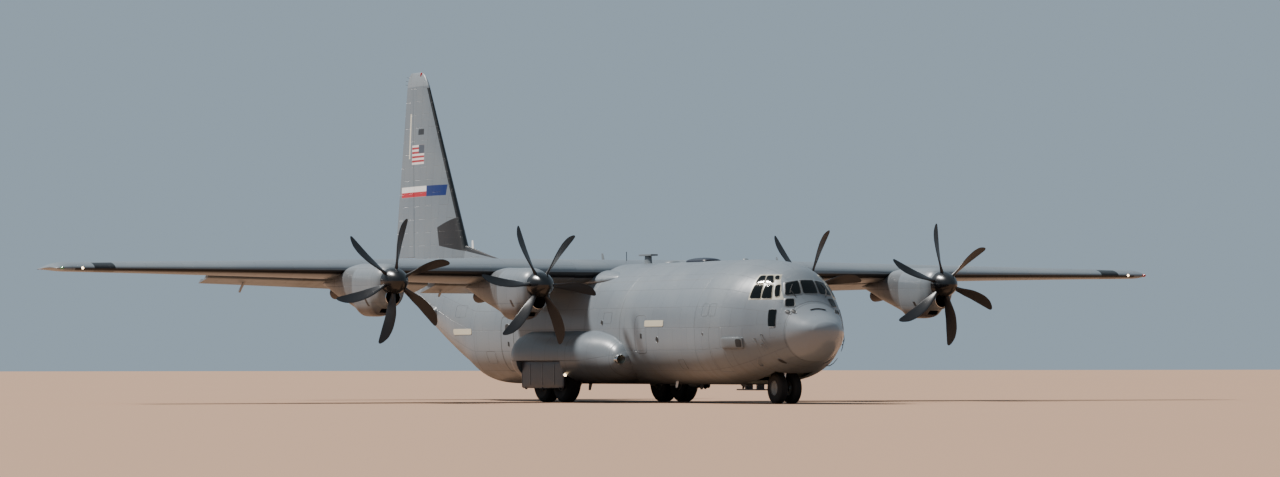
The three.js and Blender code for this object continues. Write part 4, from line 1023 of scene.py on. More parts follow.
# Rows: distance aft of the propeller, half width, top and bottom from the hub, squareness
NACELLE = [
    [0.20, 0.440, 0.450, -0.78, 2.2], [0.34, 0.500, 0.520, -0.84, 2.4], [0.68, 0.545, 0.570, -0.90, 2.5],
    [0.95, 0.550, 0.575, -1.09, 2.5], [1.40, 0.560, 0.580, -1.13, 2.6], [2.05, 0.570, 0.590, -1.12, 2.6],
    [2.40, 0.570, 0.600, -0.95, 2.6], [3.10, 0.560, 0.540, -0.74, 2.5], [3.90, 0.520, 0.380, -0.52, 2.4],
    [4.65, 0.440, 0.200, -0.28, 2.2], [5.35, 0.260, 0.050, -0.10, 2.0],
]
MOUTH = {"drop": 0.52, "radius": 0.235}
SPINNER = [[0.0, 0.63], [0.05, 0.622], [0.13, 0.58], [0.26, 0.45], [0.36, 0.26], [0.42, 0.06], [0.435, -0.16]]
# Rows: blade radius, chord, thickness, pitch in degrees, sweep towards the trailing edge
BLADE = [[0.38, 0.16, 0.130, 66, 0.0], [0.62, 0.25, 0.075, 58, -0.01], [1.05, 0.36, 0.045, 46, -0.02],
         [1.45, 0.37, 0.028, 38, 0.02], [1.80, 0.30, 0.018, 32, 0.10], [2.055, 0.12, 0.010, 29, 0.22]]


def nacelle_skin(y, hub):
    """A cowl: rings from the table, after a front face that rolls in from the first ring."""
    fade = np.linspace(0, 1, 8)[1:]
    aft = np.concatenate([[0.165, 0.165, 0.17, 0.18, 0.20, 0.24], np.linspace(0.30, 5.35, 58),
                          5.35 + 0.16 * fade])[:, None]
    size = np.concatenate([[0.0, 0.6, 0.90, 0.955, 0.985, 1.0], np.ones(58), np.sqrt(1 - fade**2)])[:, None]
    half, top, bottom, square = columns(NACELLE, np.clip(aft, 0.20, 5.35))
    turn = np.linspace(0, TURN, 64, endpoint=False)[None, :]
    side, up = np.sin(turn), np.cos(turn)
    power = np.where(up > 0, 2.0, square)
    reach = size * (np.abs(side) ** power + np.abs(up) ** power) ** (-1 / power)
    return shell(net(points(PROP_STATION + aft + 0 * turn, y + half * side * reach,
                            hub + np.where(up > 0, top, -bottom) * up * reach), round_columns=True))


def blade_skin(y, hub, degrees):
    """A blade: lens sections with a blunt nose, twisted and swept along the radius, turned to its place."""
    radius = np.concatenate([[0.36], np.linspace(0.38, 2.0, 34),
                             2.055 - 0.055 * np.linspace(1, 0, 7)[1:] ** 2])
    chord, thick, pitch, sweep = columns(BLADE, np.clip(radius, 0.38, 2.055))
    tip = np.sqrt(1 - np.clip((radius - 1.98) / 0.076, 0, 0.985) ** 2)
    turn = np.linspace(0, TURN, 28, endpoint=False)
    across = (chord * tip / 2)[:, None] * np.cos(turn) + sweep[:, None]
    bow = (0.03 * chord)[:, None] * (np.cos(turn) ** 2 - 0.5)
    deep = (thick * tip / 2)[:, None] * np.sin(turn) * (1 - 0.35 * np.cos(turn)) + bow
    c, s = np.cos(np.radians(pitch))[:, None], np.sin(np.radians(pitch))[:, None]
    x, side, out = -across * s + deep * c, across * c + deep * s, radius[:, None] + 0 * across
    t = np.radians(degrees)
    beside, above = side * np.cos(t) - out * np.sin(t), side * np.sin(t) + out * np.cos(t)
    return shell(net(np.stack([at(PROP_STATION) + x, y + beside, hub + above], -1), round_columns=True))


def build_engines(skin, dark, chrome, gloss, blade, steel):
    """Four cowls with intakes and coolers, and four propellers with spinners, blades and shafts."""
    for number, y, hub, phase in ENGINES:
        cowl = piece(f"cowl_{number}", [nacelle_skin(y, hub)], [skin["nacelle"], dark],
                     node=f"nacelle_{number}")
        mouth = spot(PROP_STATION, y, hub - MOUTH["drop"])
        duct = lathe([[0, 0.2], [0.24, 0.2], [0.235, -0.24], [0.215, -0.40], [0.20, -0.95], [0, -0.95]],
                     mouth, AHEAD, 40)
        cooler = block((PROP_STATION + 0.5, PROP_STATION + 1.1), (y - 0.17, y + 0.17),
                       (hub - 1.01, hub - 0.88))
        shaft = lathe([[0, 0.3], [0.16, 0.3], [0.16, -0.9], [0, -0.9]], spot(PROP_STATION, y, hub), AHEAD, 32)
        cut(cowl, [duct, cooler, shaft])
        near = np.array([mouth[1], mouth[2]])

        def inside(middle):
            arm = np.linalg.norm(middle[:, 1:] - near, axis=1)
            slot = (np.abs(middle[:, 1] - y) < 0.175) & (np.abs(middle[:, 2] - hub + 0.945) < 0.068)
            aft = at(PROP_STATION) - middle[:, 0]
            return ((arm < 0.238) | slot) & (aft > 0.19) & (aft < 1.3)

        second_finish(cowl, inside)
        lip = [[0.236, -0.215], [0.234, -0.175], [0.246, -0.150], [0.262, -0.158], [0.268, -0.19],
               [0.255, -0.23]]
        piece(f"intake_lip_{number}", [lathe(lip, mouth, AHEAD, 48)], chrome)
        profile = columns([[k, *row] for k, row in enumerate(SPINNER)], np.linspace(0, 6, 40)).T
        profile = np.vstack([profile, [[0.0, -0.16]]])
        hub_point = spot(PROP_STATION, y, hub)
        body = f"propeller_{number}"
        piece(f"spinner_{number}", [lathe(profile, hub_point, AHEAD, 64)], gloss, body, body)
        piece(f"blades_{number}", [blade_skin(y, hub, phase + 60 * k) for k in range(6)], blade, body)
        shaft = lathe([[0, -0.1], [0.12, -0.1], [0.12, -0.84], [0, -0.84]], hub_point, AHEAD, 32)
        piece(f"shaft_{number}", [shaft], steel, body)


# Landing gear

INLET = {"y": 2.32, "z": 1.42}
LEG_Y = 1.76
# Rows: station, outer edge, top, bottom
SPONSON = [[10.05, 2.44, 1.74, 1.08], [10.35, 2.50, 1.98, 0.90], [11.10, 2.66, 2.28, 0.72],
           [12.40, 2.90, 2.42, 0.64],
           [17.20, 2.90, 2.42, 0.64], [18.00, 2.66, 2.20, 0.80], [18.55, 2.30, 1.85, 1.05]]
MAIN_WHEEL = {"radius": 0.71, "half": 0.255, "rim": 0.30, "y": 2.175, "stations": (14.58, 16.10)}
NOSE_WHEEL = {"radius": 0.495, "half": 0.15, "rim": 0.22, "y": 0.25, "station": 3.02}


def sponson_skin(side):
    """A fairing on the hull's side: an outer curve from top to bottom, with round ends, closed inside."""
    station = np.concatenate([10.05 + 0.5 * np.linspace(0, 1, 9) ** 2, np.linspace(10.65, 18.0, 40),
                              18.55 - 0.5 * np.linspace(1, 0, 9)[1:] ** 2])[:, None]
    outer, top, bottom = columns(SPONSON, station)
    ends = np.sqrt(np.clip((station - 10.05) / 0.30, 0, 1)) * np.sqrt(np.clip((18.55 - station) / 0.4, 0, 1))
    ends = 0.35 + 0.65 * ends
    middle = (top + bottom) / 2
    turn = np.linspace(0, np.pi, 41)[None, :]
    across = 1.5 + ((outer - 1.5) * np.minimum(1, 0.55 + 0.45 * ends)) * np.sin(turn) ** 0.8
    level = middle + (top - bottom) / 2 * ends * np.sign(np.cos(turn)) * np.abs(np.cos(turn)) ** 0.8
    across = np.concatenate([across, 1.2 + 0 * station, 1.2 + 0 * station], 1)
    level = np.concatenate([level, level[:, -1:], level[:, :1]], 1)
    return shell(net(points(station + 0 * across, side * across, level), round_columns=True))


def tyre_skin(wheel, y, station, radius):
    """A tyre turned about its axle: round shoulders and four grooves in a crown that is nearly flat."""
    half, size, rim_size = wheel["half"], wheel["radius"], wheel["rim"]
    across = np.linspace(-1, 1, 61)
    shoulder = np.clip((np.abs(across) - 0.62) / 0.38, 0, 1)
    crown = size - 0.012 * np.abs(across) ** 2 * size - 0.30 * (size - rim_size) * shoulder**2.2
    groove = np.abs(np.abs(across)[:, None] - np.array([0.16, 0.46])).min(1) < 0.028
    crown = crown - 0.012 * groove
    tread = np.stack([crown, across * half * (1 - 0.10 * (1 - shoulder))], 1)
    wall = np.stack([np.linspace(size - 0.30 * (size - rim_size) - 0.03, rim_size, 12),
                     half * (1.0 + 0.03 * np.sin(np.linspace(0.3, np.pi, 12))) * np.linspace(0.99, 0.80, 12)],
                    1)
    profile = np.vstack([tread, wall, wall[::-1] * [1, -1]])
    return lathe(profile, spot(station, y, radius), PORT, 72)


def hub_skins(wheel, y, station, radius, out):
    """A wheel's metal: a dished disc with a rim lip each side, and a hub cap with its ring of bolts."""
    half, size = wheel["half"], wheel["rim"]
    disc = [[0.0, 0.30], [0.20, 0.30], [0.22, 0.42], [0.34, 0.42], [0.40, 0.25], [0.78, 0.16], [0.86, 0.30],
            [0.95, 0.62],
            [1.03, 0.80], [1.07, 0.84], [1.07, 0.70], [1.0, 0.55]]
    face = np.array(disc) * [size, half]
    profile = np.vstack([face, face[::-1] * [1, -1]])
    skins = [lathe(profile, spot(station, y, radius), PORT, 64)]
    turn = np.linspace(0, TURN, 10, endpoint=False)
    for t in turn:
        centre = spot(station + 0.62 * size * np.cos(t), y + out * half * 0.20,
                      radius + 0.62 * size * np.sin(t))
        skins.append(lathe([[0, 0.03], [0.016, 0.03], [0.016, -0.02], [0, -0.02]], centre, [0, out, 0], 8))
    return skins


def build_main_gear(skin, dark_paint, lining, rubber, hub, white, chrome):
    """On each side: the fairing with its inlet, the hanging door, two legs and two wheels."""
    for name, side in SIDES.items():
        fairing = piece(f"sponson_skin_{name}", [sponson_skin(side)], [skin["hull"], lining],
                        node=f"sponson_{name}")
        inner = tuple(sorted((side * 1.0, side * 2.56)))
        outer = tuple(sorted((side * 1.0, side * 4.0)))
        cut(fairing, [hull_solid(8.0, 20.0), block(MAIN_WELL["stations"], inner, (-1, 1.62)),
                      block(MAIN_WELL["stations"], outer, (-1, 1.38)),
                      lathe([[0, 0.6], [0.15, 0.6], [0.135, -0.12], [0.10, -0.45], [0, -0.45]],
                            spot(10.2, side * INLET["y"], INLET["z"]), AHEAD, 36)])
        second_finish(fairing, lambda middle: (
            (np.abs(middle[:, 0] - at(15.34)) < 1.725) & (np.abs(middle[:, 1]) < 2.57)
            & (middle[:, 2] < 1.63))
            | ((np.linalg.norm(middle[:, 1:] - [side * INLET["y"], INLET["z"]], axis=1) < 0.151)
               & (middle[:, 0] < at(10.14)) & (middle[:, 0] > at(10.9))))
        ring = [[0.138, -0.30], [0.138, 0.02], [0.150, 0.04], [0.164, 0.02], [0.166, -0.30]]
        piece(f"sponson_inlet_{name}", [lathe(ring, spot(10.16, side * INLET["y"], INLET["z"]), AHEAD, 40)],
              chrome)
        door = box_outline((13.68, 17.0), (0.46, 1.38), 0.07, 72)
        flat = lambda station, z, out: points(station, side * (2.71 + out + 0 * z), z)
        panel = [plate(door, flat, 0.0, -0.05, 8, 0.022),
                 rim(door + (door - door.mean(0)) * -0.04, 0.03, flat, 0.012, -0.02)]
        for station in (14.4, 15.34, 16.3):
            panel.append(plate(box_outline((station - 0.05, station + 0.05), (0.56, 1.28), 0.03, 32), flat,
                               0.020, -0.02, 3, 0.006))
        panel += [lathe([[0, -0.012], [0.05, -0.012], [0.05, 0.012], [0, 0.012]], spot(s, side * 2.685, 0.47),
                        AHEAD, 16)
                  for s in (14.0, 15.34, 16.7)]
        piece(f"gear_door_{name}", panel, dark_paint, node=f"main_gear_door_{name}")
        legs, pistons = [], []
        for station in MAIN_WHEEL["stations"]:
            legs.append(lathe([[0, 2.0], [0.12, 2.0], [0.12, 1.32], [0.135, 1.30], [0.135, 1.16],
                               [0.12, 1.14],
                               [0.12, 0.98], [0, 0.98]], spot(station, side * LEG_Y, 0), UPWARD, 32))
            legs.append(lathe([[0, 0.9], [0.10, 0.9], [0.125, 0.84], [0.125, 0.60], [0.10, 0.54], [0, 0.54]],
                              spot(station, side * LEG_Y, 0), UPWARD, 32))
            legs.append(tube([spot(station, side * 1.70, 0.71), spot(station, side * 2.44, 0.71)], 0.085, 24))
            pistons.append(lathe([[0, 1.0], [0.085, 1.0], [0.085, 0.88], [0, 0.88]],
                                 spot(station, side * LEG_Y, 0), UPWARD, 32))
        front, rear = MAIN_WHEEL["stations"]
        legs.append(block((front, rear), tuple(sorted((side * 1.70, side * 1.82))), (1.06, 1.24)))
        piece(f"main_legs_{name}", legs, white, node=f"main_gear_struts_{name}")
        piece(f"main_pistons_{name}", pistons, chrome)
        for end, station in zip(("front", "rear"), MAIN_WHEEL["stations"]):
            body = f"main_wheel_{end}_{name}"
            y = side * MAIN_WHEEL["y"]
            piece(f"main_tyre_{end}_{name}", [tyre_skin(MAIN_WHEEL, y, station, 0.71)], rubber, body, body)
            piece(f"main_hub_{end}_{name}", hub_skins(MAIN_WHEEL, y, station, 0.71, side), hub, body)


def build_nose_gear(skin, rubber, hub, white, chrome):
    """The leg with its drag strut, the steered fork, twin wheels on one axle, and the door slid aft."""
    station, radius = NOSE_WHEEL["station"], NOSE_WHEEL["radius"]
    leg = [lathe([[0, 1.77], [0.12, 1.77], [0.12, 1.16], [0.135, 1.14], [0.135, 1.07], [0, 1.07]],
                 spot(station, 0, 0), UPWARD, 36),
           tube([spot(station + 0.05, 0, 1.15), spot(station + 1.1, 0, 1.70)], 0.05, 16),
           block((station + 1.0, station + 1.2), (-0.12, 0.12), (1.64, 1.775))]
    piece("nose_leg", leg, white, node="nose_gear_leg")
    fork = [lathe([[0, 1.05], [0.085, 1.05], [0.085, 0.66], [0, 0.66]], spot(station, 0, 0), UPWARD, 32),
            lathe([[0.062, 0.085], [0.13, 0.085], [0.13, -0.085], [0.062, -0.085]], spot(station, 0, radius),
                  PORT, 32),
            lathe([[0, 0.72], [0.10, 0.72], [0.12, 0.66], [0.12, 0.56], [0, 0.56]], spot(station, 0, 0),
                  UPWARD, 32)]
    piece("nose_fork", fork, chrome, "nose_gear_fork", "nose_gear_fork")
    tyres, hubs = [], []
    for side in (1, -1):
        y = side * NOSE_WHEEL["y"]
        tyres.append(tyre_skin(NOSE_WHEEL, y, station, radius))
        hubs += hub_skins(NOSE_WHEEL, y, station, radius, side)
    hubs.append(tube([spot(station, -0.28, radius), spot(station, 0.28, radius)], 0.058, 24))
    piece("nose_tyres", tyres, rubber, "nose_wheels", "nose_wheels")
    piece("nose_hubs", hubs, hub, "nose_wheels")
    blade = dense(rounded([[4.36, -0.34], [5.6, -0.34], [6.4, 0], [5.6, 0.34], [4.36, 0.34]], 0.12), 64)
    flat = lambda s, y, out: points(s, y, 0.44 + out + 0 * y)
    slab = [plate(blade, flat, 0.02, -0.02, 3)]
    slab += [block((s - 0.05, s + 0.05), (-0.12, 0.12), (0.45, 0.72)) for s in (4.7, 5.5)]
    piece("nose_gear_slid_door", slab, skin["hull"], node="nose_gear_aft_door")


# Small fittings, each set on the skin that carries it


def mast(station, y, base, tip, chord, taper=0.6, rake=0.1, thick=0.14):
    """A small blade aerial: lens sections that shrink and move aft towards the tip."""
    share = np.array([0.0, 0.5, 0.9, 1.0])[:, None]
    size = (1 - (1 - taper) * share) * np.array([1, 1, 1, 0.8])[:, None]
    turn = np.linspace(0, TURN, 24, endpoint=False)[None, :]
    return shell(net(points(station + rake * share + chord / 2 * size * np.cos(turn),
                            y + chord * thick / 2 * size * np.sin(turn),
                            base + (tip - base) * share + 0 * turn),
                     round_columns=True))


def build_nose_fittings():
    """Wipers, probes, sensors, a vent, a strip over the radome and an air scoop, whose open mouth is a black
    plate of painted shade.
    """
    arms, probes, rings, eyes = [], [], [], []
    for side in (1, -1):
        arms.append(tube(hull_ahead(side * np.array([0.52, 0.55, 0.60, 0.63]),
                                    np.array([3.34, 3.40, 3.50, 3.60]), np.array([0.0, 0.03, 0.035, 0.03])),
                         0.011, 8))
        arms.append(tube(hull_ahead(side * np.array([0.66, 0.62, 0.56, 0.50]),
                                    np.array([3.48, 3.58, 3.68, 3.76]),
                                    np.array([0.022, 0.022, 0.022, 0.022])), 0.009, 8))
        place = hull_beside(side)
        for (s, z), (t, w) in [((2.09, 2.05), (1.98, 1.90)), ((1.82, 2.18), (1.61, 1.71)),
                               ((1.86, 1.88), (1.74, 1.65)), ((2.31, 1.20), (2.12, 1.44))]:
            path = place(np.array([s, s, (s * 2 + t) / 3, t]), np.array([z, z, (z * 2 + w) / 3, w]),
                         np.array([-0.02, 0.06, 0.09, 0.10]))
            probes.append(tube(path, np.array([0.018, 0.015, 0.012, 0.008]), 10))
        for y, z in ((0.88, 2.88), (0.74, 2.90)):
            ring = disc_outline((side * y, z), 0.052)
            eyes.append(plate(ring, hull_ahead, 0.008, -0.02, 3, 0.02))
            rings.append(rim(ring, 0.022, hull_ahead, 0.016, -0.02))
        vent = disc_outline((1.61, 1.34), 0.07)
        eyes.append(plate(vent, place, 0.004, -0.02, 3))
        rings.append(rim(vent, 0.025, place, 0.012, -0.02))
        rings.append(rim(box_outline((3.42, 4.16), (1.02, 2.41), 0.10, 72), 0.012, place, 0.003, -0.01))
    piece("wipers", arms, SEAL)
    piece("probes", probes, PALE)
    piece("sensor_eyes", eyes, SEAL)
    piece("sensor_rings", rings, FRAME_GREY)
    y = np.linspace(-0.27, 0.27, 15)
    piece("radome_strip", [tube(hull_ahead(y, 2.985 - 0.04 * (y / 0.27) ** 2, 0.012), 0.016, 8)], SEAL)
    scoop = box_outline((2.52, 3.42), (1.74, 2.09), 0.07, 56)
    mouth = box_outline((2.56, 2.76), (1.79, 2.04), 0.05, 32)
    place = hull_beside(-1)
    piece("air_scoop", [plate(scoop, place, 0.055, -0.03, 5, 0.02), rim(scoop, 0.02, place, 0.02, -0.02)],
          FRAME_GREY)
    # painted shade: the scoop's open mouth is a black plate laid on its face
    piece("air_scoop_mouth_painted_shade", [plate(mouth, place, 0.082, 0.0, 3)], SEAL)


def build_side_fittings():
    """Light strips, door outlines, ports, handles and the cones near the tail, on both sides of the hull."""
    strips, lines, ports, rings, cones, cores = [], [], [], [], [], []
    for side in (1, -1):
        place = hull_beside(side)
        for spans, heights in (((7.31, 8.67), (2.47, 2.67)), ((22.34, 24.10), (2.29, 2.49))):
            strips.append(plate(box_outline(spans, heights, 0.03, 40), place, 0.012, -0.02, 3))
        door = box_outline((8.59, 9.39), (1.62, 2.82), 0.22, 72)
        wide = SIDE_DOOR + (SIDE_DOOR - SIDE_DOOR.mean(0)) * 0.03
        lines += [rim(door, 0.026, place, 0.003, -0.02)]
        rings.append(rim(wide, 0.045, place, 0.008, -0.02))
        panels = [((3.86, 4.22), (2.78, 3.16)), ((4.28, 4.64), (2.78, 3.16)), ((23.0, 23.9), (2.9, 3.3)),
                  ((6.1, 6.5), (1.1, 1.4)), ((11.2, 11.8), (2.6, 2.95)), ((20.5, 21.2), (1.3, 1.7))]
        lines += [rim(box_outline(s, z, 0.05, 40), 0.010, place, 0.003, -0.02) for s, z in panels]
        for centre, size in (((7.77, 2.05), 0.085), ((11.89, 2.62), 0.075), ((4.53, 2.21), 0.03),
                             ((13.0, 0.98), 0.04)):
            ring = disc_outline(centre, size)
            ports.append(plate(ring, place, 0.004, -0.02, 3))
            rings.append(rim(ring, 0.018, place, 0.010, -0.02))
        for centre in ((8.95, 2.17), (19.28, 1.95)):
            grip = box_outline((centre[0] - 0.05, centre[0] + 0.05), (centre[1] - 0.08, centre[1] + 0.08),
                               0.03, 24)
            ports.append(plate(grip, place, 0.006, -0.02, 3))
            rings.append(rim(grip, 0.012, place, 0.010, -0.02))
        window = box_outline((19.22, 19.52), (2.30, 2.62), 0.09, 40)
        ports.append(plate(window, place, 0.006, -0.02, 3))
        rings.append(rim(window, 0.025, place, 0.012, -0.02))
        centre = place(np.array([26.35]), np.array([3.10]), np.array([0.0]))[0]
        cones.append(lathe([[0, -0.15], [0.20, -0.15], [0.19, 0.0], [0.13, 0.07], [0.10, 0.12], [0.0, 0.12]],
                           centre, [0.15, side, -0.1], 32))
        cores.append(lathe([[0, 0.10], [0.075, 0.10], [0.07, 0.16], [0.03, 0.20], [0, 0.205]], centre,
                           [0.15, side, -0.1], 24))
    piece("light_strips", strips, STRIP)
    piece("hatch_lines", lines, SEAL)
    piece("side_ports", ports, SEAL)
    piece("port_rings", rings, FRAME_GREY)
    piece("tail_cones", cones, FRAME_GREY)
    piece("tail_cone_cores", cores, SEAL)
    for name, side in SIDES.items():
        station = 12.3 + 7.6 * np.linspace(0, 1, 50)[:, None] ** 1.3
        size = np.sin(np.pi * np.clip((station - 12.3) / 7.6, 0, 1) ** 0.62) ** 0.75
        turn = np.linspace(0, TURN, 28, endpoint=False)[None, :]
        grid = points(station + 0 * turn, side * (1.22 + 0.42 * size * np.cos(turn)),
                      4.14 + 0.22 * size * np.sin(turn)
                      - 0.14 * size * np.cos(turn))
        piece(f"wing_root_fairing_{name}", [shell(net(grid, round_columns=True))], SKIN["hull"])


def build_aerials():
    """Aerials, domes and rods on the back and the belly."""
    top = [mast(12.85, 0, 4.5, 4.88, 0.52, 0.85, 0.0, 0.3), mast(4.05, 0.3, 4.4, 4.66, 0.2),
           mast(16.3, 0.0, 4.7, 5.0, 0.24)]
    slab = lambda s, y, out: points(s, y, 4.89 + out + 0 * y)
    top.append(plate(box_outline((12.34, 13.36), (-0.14, 0.14), 0.10, 48), slab, 0.010, -0.04, 4, 0.01))
    hump = plate(box_outline((7.98, 9.51), (-0.34, 0.34), 0.25, 56), hull_over, 0.03, -0.03, 8, 0.09)
    piece("back_hump", [hump], DARK_PAINT)
    domes = []
    for centre, size, crown in (((11.0, 0.0), 0.28, 0.06), ((6.2, 0.25), 0.12, 0.07),
                                ((20.4, 0.0), 0.16, 0.08)):
        domes.append(plate(disc_outline(centre, size), hull_over, 0.0, -0.03, 8, crown))
    rods = [tube([spot(14.5, 0, 4.6), spot(14.52, 0, 5.02)], 0.012, 8),
            tube([spot(19.3, 0, 4.5), spot(19.32, 0, 4.84)], 0.012, 8)]
    below = [mast(17.3, 0, 0.66, 0.38, 0.30), mast(7.6, -0.6, 0.75, 0.44, 0.30),
             mast(6.6, 0.4, 0.72, 0.46, 0.24), mast(20.6, 0.0, 0.66, 0.42, 0.24)]
    belly = [plate(disc_outline((5.7, 0.0), 0.22, 40, 0.7), hull_under, 0.0, -0.03, 8, 0.08)]
    belly.append(plate(disc_outline((9.4, 0.0), 0.30, 40, 0.6), hull_under, 0.0, -0.03, 8, 0.08))
    piece("back_aerials", top, FRAME_GREY)
    piece("back_domes", domes + belly, FRAME_GREY)
    piece("back_rods", rods, SEAL)
    piece("belly_aerials", below, SEAL)
    white = [mast(27.05, 0, 5.20, 5.66, 0.20, 0.7, 0.05), mast(8.3, -1.15, 0.86, 0.50, 0.24)]
    piece("white_aerials", white, WHITE_BLADE)
    beacon = [lathe([[0, -0.02], [0.07, -0.02], [0.07, 0.05], [0.05, 0.10], [0, 0.12]],
                    spot(31.55, 0, 11.715), UPWARD, 24)]
    piece("fin_beacon", beacon, RED_LENS)


def build_edges():
    """Static wicks, tip lights, taxi lamps and exhaust nozzles."""
    wicks = []
    for foil, spans in ((wing, (19.55, 19.75, 19.95)), (tailplane, (7.68, 7.78, 7.88))):
        for span in spans:
            end = foil.hinge(np.float64(span), 0.995)
            wick = tube([end, end + [-0.14, 0, -0.008], end + [-0.26, 0, -0.02]],
                        np.array([0.008, 0.006, 0.003]), 6)
            wicks += both(wick)
    for height in (11.42, 11.55, 11.68):
        end = fin.hinge(np.float64(height), 0.995)
        wicks.append(tube([end, end + [-0.22, 0, 0.03]], 0.007, 6))
    piece("static_wicks", wicks, SEAL)
    lens = [[0, -0.20], [0.030, -0.18], [0.052, -0.08], [0.055, 0.02], [0.040, 0.09], [0.018, 0.12],
            [0, 0.125]]
    for name, side, material in (("left", 1, RED_LENS), ("right", -1, GREEN_LENS)):
        piece(f"tip_light_{name}", [lathe(lens, spot(14.40, side * 20.02, 4.345), AHEAD, 24)], material)
        piece(f"tip_lamp_{name}", [lathe(lens, spot(14.40, side * 19.35, 4.345), AHEAD, 24)], LAMP)
        lamp = lathe([[0, 0.035], [0.035, 0.032], [0.052, 0.02], [0.055, -0.02], [0, -0.02]],
                     spot(13.645, side * 2.685, 0.91), AHEAD, 24)
        ring = lathe([[0.054, -0.03], [0.054, 0.028], [0.062, 0.034], [0.070, 0.026], [0.070, -0.03]],
                     spot(13.645, side * 2.685, 0.91), AHEAD, 24)
        piece(f"taxi_lamp_{name}", [lamp], LAMP)
        piece(f"taxi_lamp_ring_{name}", [ring], CHROME)
    nozzles, dark = [], []
    for _, y, hub, _ in ENGINES:
        centre = spot(PROP_STATION + 4.3, y, hub - 0.26)
        nozzles.append(lathe([[0.15, 0.6], [0.21, 0.5], [0.22, 0.0], [0.215, -0.45], [0.20, -0.62],
                              [0.19, -0.62],
                              [0.18, -0.40], [0.15, -0.1]], centre, [1, 0, 0.12], 40))
        dark.append(lathe([[0, -0.20], [0.17, -0.20], [0.17, -0.28], [0, -0.28]], centre, [1, 0, 0.12], 24))
    piece("exhaust_nozzles", nozzles, HOT_METAL)
    piece("exhaust_cores", dark, DARK)


# Finishes


def under(finish, value, level, soft=0.01):
    """1 where a value lies below a level."""
    return (value - level).rises(soft, -soft)


def hull_lines(finish):
    """The joints between the stretches of hull, and a long one under the windows' line."""
    line = (abs(finish.station - 10.55)).rises(0.030, 0.012)
    for station in (1.0, 5.05, 13.2, 18.66, 22.13):
        line = line.most((abs(finish.station - station)).rises(0.018, 0.006))
    length = (abs(finish.z - 3.95)).rises(0.020, 0.008) * finish.station.within(5.05, 13.2)
    return line.most(length)


def hull_marks(finish):
    """Paler paint round the side panes of the cockpit, and soot and oil below the wing."""
    ahead = (finish.station - (finish.z - 3.37) * 0.79).rises(1.43, 1.45)
    behind = under(finish, finish.station - (finish.z - 3.26) * 0.23, 2.52)
    frames = ahead * behind * finish.z.within(3.27, 4.07)
    dust = finish.clouds(0.7, 2.0, 2.0, 4.0)
    oil = dust.rises(0.45, 0.7) * finish.station.within(13.0, 24.0, 0.8) * finish.z.rises(1.2, 0.7) * 0.6
    return [(frames * 0.95, rgb(170, 168, 154)), (oil, rgb(40, 36, 33))]


def wing_marks(finish):
    """Black patches on the leading edge near the tips, soot behind the engines, and a near-black strip of
    painted shade under the leading edge.
    """
    span = abs(finish.y)
    tip = finish.station.rises(14.72, 14.68) * span.within(18.25, 18.95)
    puffs = finish.noise(finish.at(finish.station * 0.5, finish.y * 3.0, 0.0), 4.0)
    near = (abs(span - 4.9)).rises(0.75, 0.15).most((abs(span - 10.05)).rises(0.75, 0.15))
    soot = near * finish.station.rises(15.4, 18.2) * puffs.rises(0.3, 0.7) * 0.7
    # painted shade: a near-black strip on the lower skin of the leading edge, where it turns away from the
    # light
    edge = finish.station - (span - 5.59).most(0.0) * 0.0408 - 13.75
    below = under(finish, finish.z - span * 0.0018, 4.31)
    strip = edge.rises(0.125, 0.115) * below * under(finish, span, 19.6)
    walk = span.within(0.9, 1.5, 0.01) * finish.station.within(14.6, 17.9, 0.01) * 0.35
    return [(walk, rgb(92, 95, 98)), (soot, rgb(52, 46, 42)), (strip, rgb(26, 27, 30)),
            (tip, rgb(20, 21, 23))]


FIN_EDGE = {"height": 5.10, "station": 27.42, "lean": 0.5632}


def fin_marks(finish):
    """A dark root panel, a black leading edge, a pale light strip, a striped patch and a band."""
    s, z = finish.station, finish.z
    edge = s - (z - FIN_EDGE["height"]) * FIN_EDGE["lean"] - FIN_EDGE["station"]
    boot = edge.rises(0.085, 0.07) * z.within(5.35, 11.25)
    dark = (z - (s - 27.28) * 0.128).rises(5.25, 5.27) * under(finish, z + (s - 28.02) * 0.278, 6.57) * under(
        finish, s - (z - 6.17) * 0.348, 29.46)
    slot = s.within(30.95, 31.5) * z.within(9.56, 9.77) * (s + (z - 9.56) * 0.5).rises(31.58, 31.56)
    strip = abs(s + (z - 9.5) * 0.06 - 32.38).rises(0.075, 0.065) * z.within(8.72, 10.35)
    patch = s.within(30.87, 32.13, 0.01) * z.within(8.50, 9.20, 0.01)
    rows = ((z - 8.50) / 0.1556).part().rises(0.46, 0.54)
    corner = s.within(30.87, 31.42, 0.01) * z.within(8.89, 9.20, 0.01)
    band = z.within(7.32, 7.70, 0.01)
    fore, aft = band * s.within(29.0, 30.55, 0.01), band * s.within(30.55, 33.3, 0.01)
    cap = z.rises(11.32, 11.34)
    return [
        (cap, rgb(122, 129, 134)), (dark, rgb(38, 36, 36)), (boot, rgb(16, 18, 20)), (slot, rgb(38, 41, 44)),
        (strip, rgb(198, 193, 176)), (patch, rgb(206, 203, 200)), (patch * rows, rgb(156, 40, 46)),
        (corner, rgb(66, 72, 82)), (aft, rgb(214, 212, 210)),
        (aft * under(finish, z, 7.50), rgb(168, 26, 38)), (fore, rgb(14, 34, 92)),
    ]


